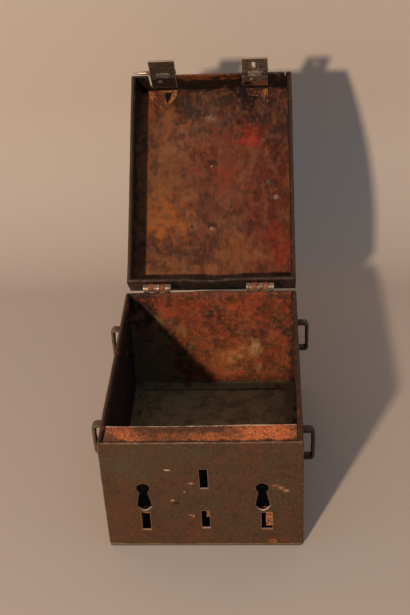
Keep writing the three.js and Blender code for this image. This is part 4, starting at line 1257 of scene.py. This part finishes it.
def rivet(name, body, at, way, grip, finish, seed, inner=RIVET_HEIGHT):
    """A rivet, moved whole to where hand work left the sheet under it."""
    part = rivet_part(at, way, grip, seed, inner)
    shift = hand_worked(np.array(at, float)) - np.array(at, float)
    part["points"] = part["points"] + shift
    piece(f"{name}_peened", body, [part], [finish], [name])


# Hinges: rolled leaves on a pin


def knuckle_ranges(centre, indices):
    """From where to where along X a leaf's knuckles reach, with play between each two."""
    start = centre - HINGE_LENGTH / 2
    return [(start + i * KNUCKLE + PLAY / 2, start + (i + 1) * KNUCKLE - PLAY / 2) for i in indices]


def within(x, ranges):
    """Where x lies inside any of the ranges."""
    return np.any([(x > low) & (x < high) for low, high in ranges], axis=0)


def hinge_leaf(name, body, centre, way, indices, clearance, finish):
    """A leaf on the sheet's outer face, its edge rolled round the pin in knuckles.

    It is drawn hanging down from the pin; the lid's leaf, whose way is up, is the mirror image in Z. It
    is one plate over its whole length, and past that only its knuckles are left.
    """
    reach, flat, bent_out, mid_turn, whole_length = 21, 5.2, 2.6, 2.85, 15.0
    plane = REAR + clearance + HINGE_LEAF / 2
    y0, z0 = PIVOT
    front = y0 - mid_turn
    straight = [(plane, z0 - reach), (plane, z0 - flat), (front, z0 - bent_out), (front, z0 - 0.4)]
    curl = circle_line((y0, z0), mid_turn, 180, -110, 26)
    line = np.concatenate([rounded_line(straight, 2.2), [(front, z0 - 0.1)], curl])
    if way > 0:
        line[:, 1] = 2 * z0 - line[:, 1]
    lengths, at = along(line, 0.7)
    ranges = knuckle_ranges(centre, indices)
    half = HINGE_LENGTH / 2
    lines_x = grid_lines(centre - half, centre + half, 0.8, np.ravel(ranges), tight=(0.4,))
    leaf_end = lengths[np.argmin(np.abs(lengths - whole_length))]

    def keep(length, x):
        return (length < leaf_end) | within(x, ranges)

    part = sheet_part(lengths, lines_x, running_along_x(at), keep)
    piece(f"{name}_rolled", body, [part], [finish, finish], [name], HINGE_LEAF, 0.25)


def hinge_pin(name, centre):
    """A pin as long as its hinge, with low round ends."""
    half, radius, end_height = HINGE_LENGTH / 2, 1.5, 0.6
    end = dome(end_height, radius, 5)
    profile = np.concatenate([end * (1, -1) + (0, -half), end[::-1] + (0, half)])
    part = turned_part(profile, hand_worked(np.array([centre, *PIVOT])), (1, 0, 0), 24, 0.5)
    piece(f"{name}_turned", "body", [part], [handled_iron], [name])


def hinges():
    """Two hinges, each with three knuckles on the body's leaf, two on the lid's, and four rivets."""
    off_middle, off_pin, base_grip, lid_grip, base_inner = 7, 13.5, 3.4, 3.7, 0.3
    face = REAR + HINGE_LEAF
    for number, (side, centre) in enumerate(HINGES.items()):
        base, lid = f"{side}_hinge_base", f"{side}_hinge_lid"
        hinge_leaf(f"{base}_leaf", "body", centre, -1, (0, 2, 4), 0.0, handled_iron)
        hinge_leaf(f"{lid}_leaf", "lid", centre, 1, (1, 3), PLAY, scaled_iron)
        hinge_pin(f"{side}_hinge_pin", centre)
        for count, x in enumerate((centre - off_middle, centre + off_middle), start=1):
            seed = SEEDS["hinge rivets"] + 10 * number + count
            low, high = (x, face, PIVOT[1] - off_pin), (x, face + PLAY, PIVOT[1] + off_pin)
            below, above = f"{base}_rivet_{count}", f"{lid}_rivet_{count}"
            rivet(below, "body", low, FORWARD, base_grip, wall_iron, seed, base_inner)
            rivet(above, "lid", high, FORWARD, lid_grip, forged_iron, seed + 5)


# Lid: a plate and four skirts in one sheet, three of them turned in to a hem


def lid_shell():
    """A plate, and strips of rings round it: each ring is the plate's rim moved out and down the skirt.

    The front strip runs on to a plain edge. The strip of the other three skirts runs on round a half
    circle to the hem. The plate sags in its middle, as a parabola along X times one along Y.
    """
    fold, sag_depth = 1.2, 0.5
    plate_x, plate_y = HALF_WIDTH - HALF_SHEET - fold, REAR - HALF_SHEET - fold
    plate_z = LID_TOP - HALF_SHEET
    slit, slit_top = (-58.8, -57.2), RIM + 20
    nick, nick_top = (68.4, 70.0), RIM + 5
    tongues = [(x - 6.3, x + 6.3) for x in HASPS.values()]
    tongue_top = RIM + 1.5
    lines_x = grid_lines(-plate_x, plate_x, 1.5, [*slit, *nick, *np.ravel(tongues)], tight=())
    lines_y = grid_lines(-plate_y, plate_y, 1.5, tight=())

    angle = np.radians(np.linspace(0, 90, 5))
    straight = np.linspace(plate_z - fold, RIM + HALF_SHEET + HEM_TURN, 18)[1:]
    for wanted in (slit_top, nick_top):
        straight[np.argmin(np.abs(straight - wanted))] = wanted
    out = np.concatenate([fold * np.sin(angle), np.full(len(straight), fold)])
    height = np.concatenate([plate_z - fold * (1 - np.cos(angle)), straight])

    def strip(base_x, base_y, way_x, way_y, out, z):
        x = base_x[None, :] + out[:, None] * way_x[None, :]
        y = base_y[None, :] + out[:, None] * way_y[None, :]
        return np.stack([x, y, np.broadcast_to(z[:, None], x.shape)], -1)

    # The front strip, with the slit, the nick and the openings for the hasps' tongues left out
    low = np.array([tongue_top, RIM + 0.7, RIM])
    front_z = np.concatenate([height, low])
    way_x = np.zeros(len(lines_x))
    way_x[[0, -1]] = -1, 1
    base_y, way_y = np.full(len(lines_x), -plate_y), np.full(len(lines_x), -1.0)
    front = strip(lines_x, base_y, way_x, way_y, np.concatenate([out, np.full(3, fold)]), front_z)
    middle_x = 0.5 * (lines_x[1:] + lines_x[:-1])[None, :]
    middle_z = 0.5 * (front_z[1:] + front_z[:-1])[:, None]
    openings = [(*slit, slit_top), (*nick, nick_top), *((*tongue, tongue_top) for tongue in tongues)]
    inside = [(middle_x > x0) & (middle_x < x1) & (middle_z < top) for x0, x1, top in openings]
    front_wear = 0.5 * np.exp(-(front_z - RIM) / WEAR_REACH)[:, None] * np.ones(len(lines_x))

    # The other strip: right skirt, rear skirt and left skirt, and their hem
    turn = np.radians(np.linspace(0, 180, 9))[1:]
    hem_out = fold - HEM_TURN * (1 - np.cos(turn))
    hem_z = height[-1] - HEM_TURN * np.sin(turn)
    up_z = np.linspace(height[-1], LID_HEM_TOP, 4)[1:]
    wrap_out = np.concatenate([out, hem_out, np.full(3, hem_out[-1])])
    wrap_z = np.concatenate([height, hem_z, up_z])
    right = np.full(len(lines_y), plate_x)
    base_x = np.concatenate([right, lines_x[::-1][1:-1], -right])
    base_y = np.concatenate([lines_y, np.full(len(lines_x) - 2, plate_y), lines_y[::-1]])
    way_x = np.sign(base_x) * (np.abs(base_x) > plate_x - 1e-6)
    way_y = np.where(base_y > plate_y - 1e-6, 1.0, 0.0)
    wrap = strip(base_x, base_y, way_x, way_y, wrap_out, wrap_z)
    front_end = np.concatenate([out, np.full(len(wrap_z) - len(out), fold)])
    wrap[:, 0, 1] = wrap[:, -1, 1] = -plate_y - front_end
    from_turn = np.abs(np.arange(len(wrap_z)) - len(height) - 4)
    wrap_wear = np.exp(-from_turn / 2.5)[:, None] * 0.52 * np.ones(len(base_x))

    grid_x, grid_y = np.meshgrid(lines_x, lines_y, indexing="ij")
    plate = np.stack([grid_x, grid_y, np.full_like(grid_x, plate_z)], -1)
    sag = sag_depth * (1 - (grid_x / plate_x) ** 2) * (1 - (grid_y / plate_y) ** 2)
    parts = [
        grid_part(bounded(plate) - sag[..., None] * (0, 0, 1), plate, 0.0),
        grid_part(bounded(front), front, front_wear, ~np.any(inside, axis=0)),
        grid_part(bounded(wrap), wrap, wrap_wear),
    ]
    rows = np.arange(len(wrap_z) - 1)[:, None] * np.ones(len(base_x) - 1)
    parts[2]["finish"] = 3 * (rows >= len(height) + 3).astype(int).ravel()
    finishes = folded_finishes(shell_iron, lid_iron)
    piece("lid_shell_sheet", "lid", parts, finishes, ["lid_shell"], SHEET, 0.35, UP)


# Hasps


def hasp_leaf(side, centre):
    """A plate inside the skirt, its tongue through the rim and rolled round the pin."""
    y0, z0 = HASP_AXIS
    reach, tongue_half, mid_turn = 20, 6, 1.8
    inner = FRONT + SHEET + PLAY + HASP_LEAF / 2
    line = rounded_line([(inner, RIM + reach), (inner, z0), (-100.9, z0)], 0.9)
    lengths, at = along(np.concatenate([line, circle_line((y0, z0), mid_turn, -35, -330, 22)]), 0.6)
    half, tongue = HASP_WIDTH / 2, [centre - tongue_half, centre + tongue_half]
    lines_x = grid_lines(centre - half, centre + half, 0.7, tongue, tight=(0.4,))
    plate_end = reach - 1.2

    def keep(length, x):
        return (length < plate_end) | (np.abs(x - centre) < tongue_half)

    part = sheet_part(lengths, lines_x, running_along_x(at), keep)
    finishes = [hasp_iron, hasp_iron]
    name = f"{side}_hasp_leaf"
    piece(f"{name}_rolled", "lid", [part], finishes, [name], HASP_LEAF, 0.2)


def hasp_flap(side, centre):
    """A plate in front of the skirt with two ears rolled round the pin, and a slot in the right one.

    The slot is the distance from a short upright line, less its radius.
    """
    y0, z0 = HASP_AXIS
    thick, mid_turn, hang, half, ear = 1.6, 1.6, 22.0, HASP_WIDTH / 2, 6.45
    slot_x, slot_middle, slot_half, slot_radius = -1.0, 9.75, 3.15, 1.6
    line = np.concatenate([[(y0 + mid_turn, z0 - hang)], circle_line((y0, z0), mid_turn, 0, 290, 22)])
    lengths, at = along(line, 0.6)
    ears = [(centre - half, centre - ear), (centre + ear, centre + half)]
    lines_x = grid_lines(centre - half, centre + half, 0.6, [centre - ear, centre + ear], tight=(0.4,))
    shoulder = hang - 2.4 - PLAY - 0.25

    def keep(length, x):
        return (length < shoulder) | within(x, ears)

    def clear(length, x):
        beyond = np.maximum(np.abs(length - slot_middle) - slot_half, 0)
        return np.hypot(x - centre - slot_x, beyond) - slot_radius

    def bend(points):
        return pushed(points, [(11, 0.22), (4, 0.07)], SEEDS["flaps"])

    holes = clear if side == "right" else None
    part = sheet_part(lengths, lines_x, running_along_x(at), keep, holes, bend)
    finishes = [hasp_iron, hasp_iron]
    name = f"{side}_hasp_flap"
    piece(f"{name}_plate", f"{side}_hasp", [part], finishes, [name], thick, 0.25)


def hasp_pins():
    """The nail on the left, its point out to the side, a plain pin on the right, and the nail's washer."""
    y0, z0 = HASP_AXIS
    left, right = HASPS["left"], HASPS["right"]
    half = HASP_WIDTH / 2
    shank = HASP_WIDTH + 1.2 + 2 * PLAY
    head = [(0, -0.4), (1.0, -0.3), (1.1, 0), (1.1, shank)]
    past_shank = [(1.7, 0.25), (1.9, 1.0), (1.85, 3.5), (1.65, 6), (1.3, 9), (0.7, 12), (0.2, 13.6), (0, 14)]
    nail = head + [(radius, shank + length) for radius, length in past_shank]
    part = turned_part(nail, (left + half, y0, z0), (-1, 0, 0), 24, 0.35)
    part["points"] = pushed(part["points"], [(7, 0.12), (2.5, 0.05)], SEEDS["nail"])
    piece("left_hasp_pin_nail", "lid", [part], [handled_iron], ["left_hasp_pin"])

    ends = dome(0.5, 1.1, 4)
    pin = np.concatenate([ends * (1, -1) + (0, -half), ends[::-1] + (0, half)])
    part = turned_part(pin, (right, y0, z0), (1, 0, 0), 20, 0.4)
    piece("right_hasp_pin_turned", "lid", [part], [handled_iron], ["right_hasp_pin"])

    ring = circle_line((0, 0), 1, 0, 360, 16) * (0.62, 0.6) + (2.05, 0)
    washer = turned_part(ring, (left - half - PLAY - 0.6, y0, z0), (1, 0, 0), 28, 0.5)
    piece("left_pin_washer_ring", "lid", [washer], [handled_iron], ["left_pin_washer"])


# Brackets inside the lid: outlines by X from the hasp's middle and Y from the hasp's leaf

FORK = [(-17, 0), (12, 0), (10.5, 6), (5, 14), (1, 19), (-5, 18), (-11, 12), (-15, 6)]
FORK_EYE = [(-0.5, 1.5), (6.5, 1.5), (5, 8), (1.5, 14.5), (0.2, 9)]
HOOK = [(-9, 0), (12, 0), (12, 15), (9.5, 18), (6, 17), (3.5, 13), (2.5, 7.5), (-7, 6)]


def bracket(name, centre, outline, eye):
    """A plate cut to an outline: the grid's cells inside it, drawn onto its edge."""
    thick, seed = 1.7, SEEDS["brackets"]
    lines_x = np.linspace(centre - 19, centre + 14, 56)
    lines_y = np.linspace(BRACKET_FRONT - 1, BRACKET_FRONT + 21, 38)
    shape, hole = ([(centre + x, BRACKET_FRONT + y) for x, y in points] for points in (outline, eye))
    z = LID_TOP - SHEET - PLAY - 0.9

    def clear(x, y):
        distance = -outline_distance(x, y, shape)
        return np.minimum(distance, outline_distance(x, y, hole)) if hole else distance

    def bend(points):
        """Bent with the lid's sheet and a little more, but hardly up into it."""
        under_sheet = hand_worked(points)
        moved = pushed(under_sheet, [(9, 0.3), (3, 0.1)], seed)
        moved[..., 2] = np.minimum(moved[..., 2], under_sheet[..., 2] + 0.1)
        return moved

    part = sheet_part(lines_x, lines_y, lambda x, y: (x, y, np.full_like(x, z)), holes=clear, bend=bend)
    piece(f"{name}_plate", "lid", [part], [scaled_iron, scaled_iron], [name], thick, ROUNDED)


# Everything in turn


def body_pieces():
    """The six sheets of the body, its loops and the hinges."""
    floor_plate()
    front_panel()
    side_wall(-1, "left_wall")
    side_wall(1, "right_wall")
    rear_wall()
    lock_partition()
    lock_ledge()
    for name, (side, y) in LOOPS.items():
        strap_loop(name, side, y)
    hinges()


def lid_pieces():
    """The lid, its hasps and brackets, and their rivets, by where each comes through the outer face."""
    through_skirt, through_top, plug_inner = 3.1, 3.7, 0.4
    lid_shell()
    for side, centre in HASPS.items():
        hasp_leaf(side, centre)
        hasp_flap(side, centre)
    hasp_pins()
    bracket("left_fork_bracket", HASPS["left"], FORK, FORK_EYE)
    bracket("right_hook_bracket", HASPS["right"], HOOK, [])
    for number, (x, y) in enumerate(PLUGS, start=1):
        at, seed = (x, y, LID_TOP), SEEDS["plugs"] + number
        rivet(f"lid_plug_{number}", "lid", at, DOWN, SHEET, dull_iron, seed, plug_inner)
    for number, side in enumerate(HASPS):
        at, seed = (HASPS[side] - 3, FRONT, RIM + 8), SEEDS["hasp rivets"] + number
        rivet(f"{side}_hasp_rivet", "lid", at, BACK, through_skirt, handled_iron, seed)
    fork = (HASPS["left"] - 9, BRACKET_FRONT + 6, LID_TOP)
    hook = (HASPS["right"] + 8, BRACKET_FRONT + 10, LID_TOP)
    for number, (name, at) in enumerate((("left_fork_rivet", fork), ("right_hook_rivet", hook))):
        seed = SEEDS["bracket rivets"] + number
        rivet(name, "lid", at, DOWN, through_top, scaled_iron, seed)


def finish_nodes():
    """The lock's inner pieces stay as packed, with finishes of their own."""
    forged = ("_guide_strap", "_guide_clip", "_head_guide", "_lock_bridge")
    endings = {"_bolt": scaled_node, "_bolt_spring": spring_node, **dict.fromkeys(forged, forged_node)}
    for name, made in nodes.items():
        for ending, finish in endings.items():
            if name.endswith(ending) and not made.hide_render:
                made.data.materials.clear()
                made.data.materials.append(finish)


body_pieces()
lid_pieces()
finish_nodes()


# Floor, light and camera


def stage_sweep():
    """Pale matt paper: flat under the box, then a quarter circle up to an upright wall, in metres.

    It is see-through from behind, so the box can be looked at from there too.
    """
    tone = "#C4AF9C"
    start, radius, top, side, front = 0.262, 0.156, 3.0, 4.0, -4.0
    bend = circle_line((start, radius), radius, -90, 0, 48)
    line = np.concatenate([[(front, 0.0)], bend, [(start + radius, top)]])
    points = np.array([(x, y, z) for x in (-side, side) for y, z in line])
    count = len(line)
    faces = [(i, i + count, i + count + 1, i + 1) for i in range(count - 1)]
    mesh = bpy.data.meshes.new("paper_sweep")
    mesh.from_pydata(points.tolist(), [], faces)
    mesh.shade_smooth()
    material = bpy.data.materials.new("pale_matt_paper")
    material.use_nodes = True
    tree = material.node_tree
    shader = tree.nodes["Principled BSDF"]
    shader.inputs["Base Color"].default_value = paint(tone)
    shader.inputs["Roughness"].default_value = 0.9
    shader.inputs["Specular IOR Level"].default_value = 0.2
    behind = output(node(tree, "NewGeometry"), "Backfacing")
    clear = node(tree, "BsdfTransparent")
    shown = node(tree, "MixShader", {0: behind, 1: shader.outputs[0], 2: clear})
    tree.links.new(shown, tree.nodes["Material Output"].inputs["Surface"])
    mesh.materials.append(material)
    sweep = bpy.data.objects.new("paper_sweep", mesh)
    bpy.context.scene.collection.objects.link(sweep)


def area_light(name, direction, distance, size, level, colour):
    """A square lamp far off; at level 1 a surface that faces it shows its colour as written."""
    box_middle = np.array([0.0, 0.05, 0.1])
    lamp = bpy.data.lights.new(name, "AREA")
    lamp.shape = "SQUARE"
    lamp.size = size
    lamp.energy = level * (np.pi * distance) ** 2
    lamp.color = paint(colour)[:3]
    made = bpy.data.objects.new(name, lamp)
    bpy.context.scene.collection.objects.link(made)
    way = np.array(direction, float) / np.linalg.norm(direction)
    made.location = box_middle - way * distance
    made.rotation_euler = Vector(way).to_track_quat("-Z", "Y").to_euler()


def light():
    """One small lamp from the front left, as the shadow on the paper tells, and a weak even fill."""
    fill_level, key_level, key_distance, key_size = 0.42, 0.84, 2.4, 0.11
    world = bpy.data.worlds.new("studio")
    world.use_nodes = True
    background = world.node_tree.nodes["Background"]
    background.inputs["Color"].default_value = paint("#BCDDFF")
    background.inputs["Strength"].default_value = fill_level
    bpy.context.scene.world = world
    area_light("key", (0.84, 2.0, -1.0), key_distance, key_size, key_level, "#FFECD7")


def camera():
    """The photo's camera, fitted to the box's corners; the sensor's longer side is the photo's height."""
    focal_pixels, photo_height, sensor = 1060, 615, 36
    lens = bpy.data.cameras.new("photo_camera")
    lens.lens = focal_pixels * sensor / photo_height
    lens.sensor_width = sensor
    made = bpy.data.objects.new("photo_camera", lens)
    bpy.context.scene.collection.objects.link(made)
    made.location = np.array([55.05, -678.95, 607.8]) * MM
    made.rotation_euler = np.radians([56.274, 2.820, 2.579])
    bpy.context.scene.camera = made


stage_sweep()
light()
camera()
bpy.context.scene.view_settings.view_transform = "Standard"
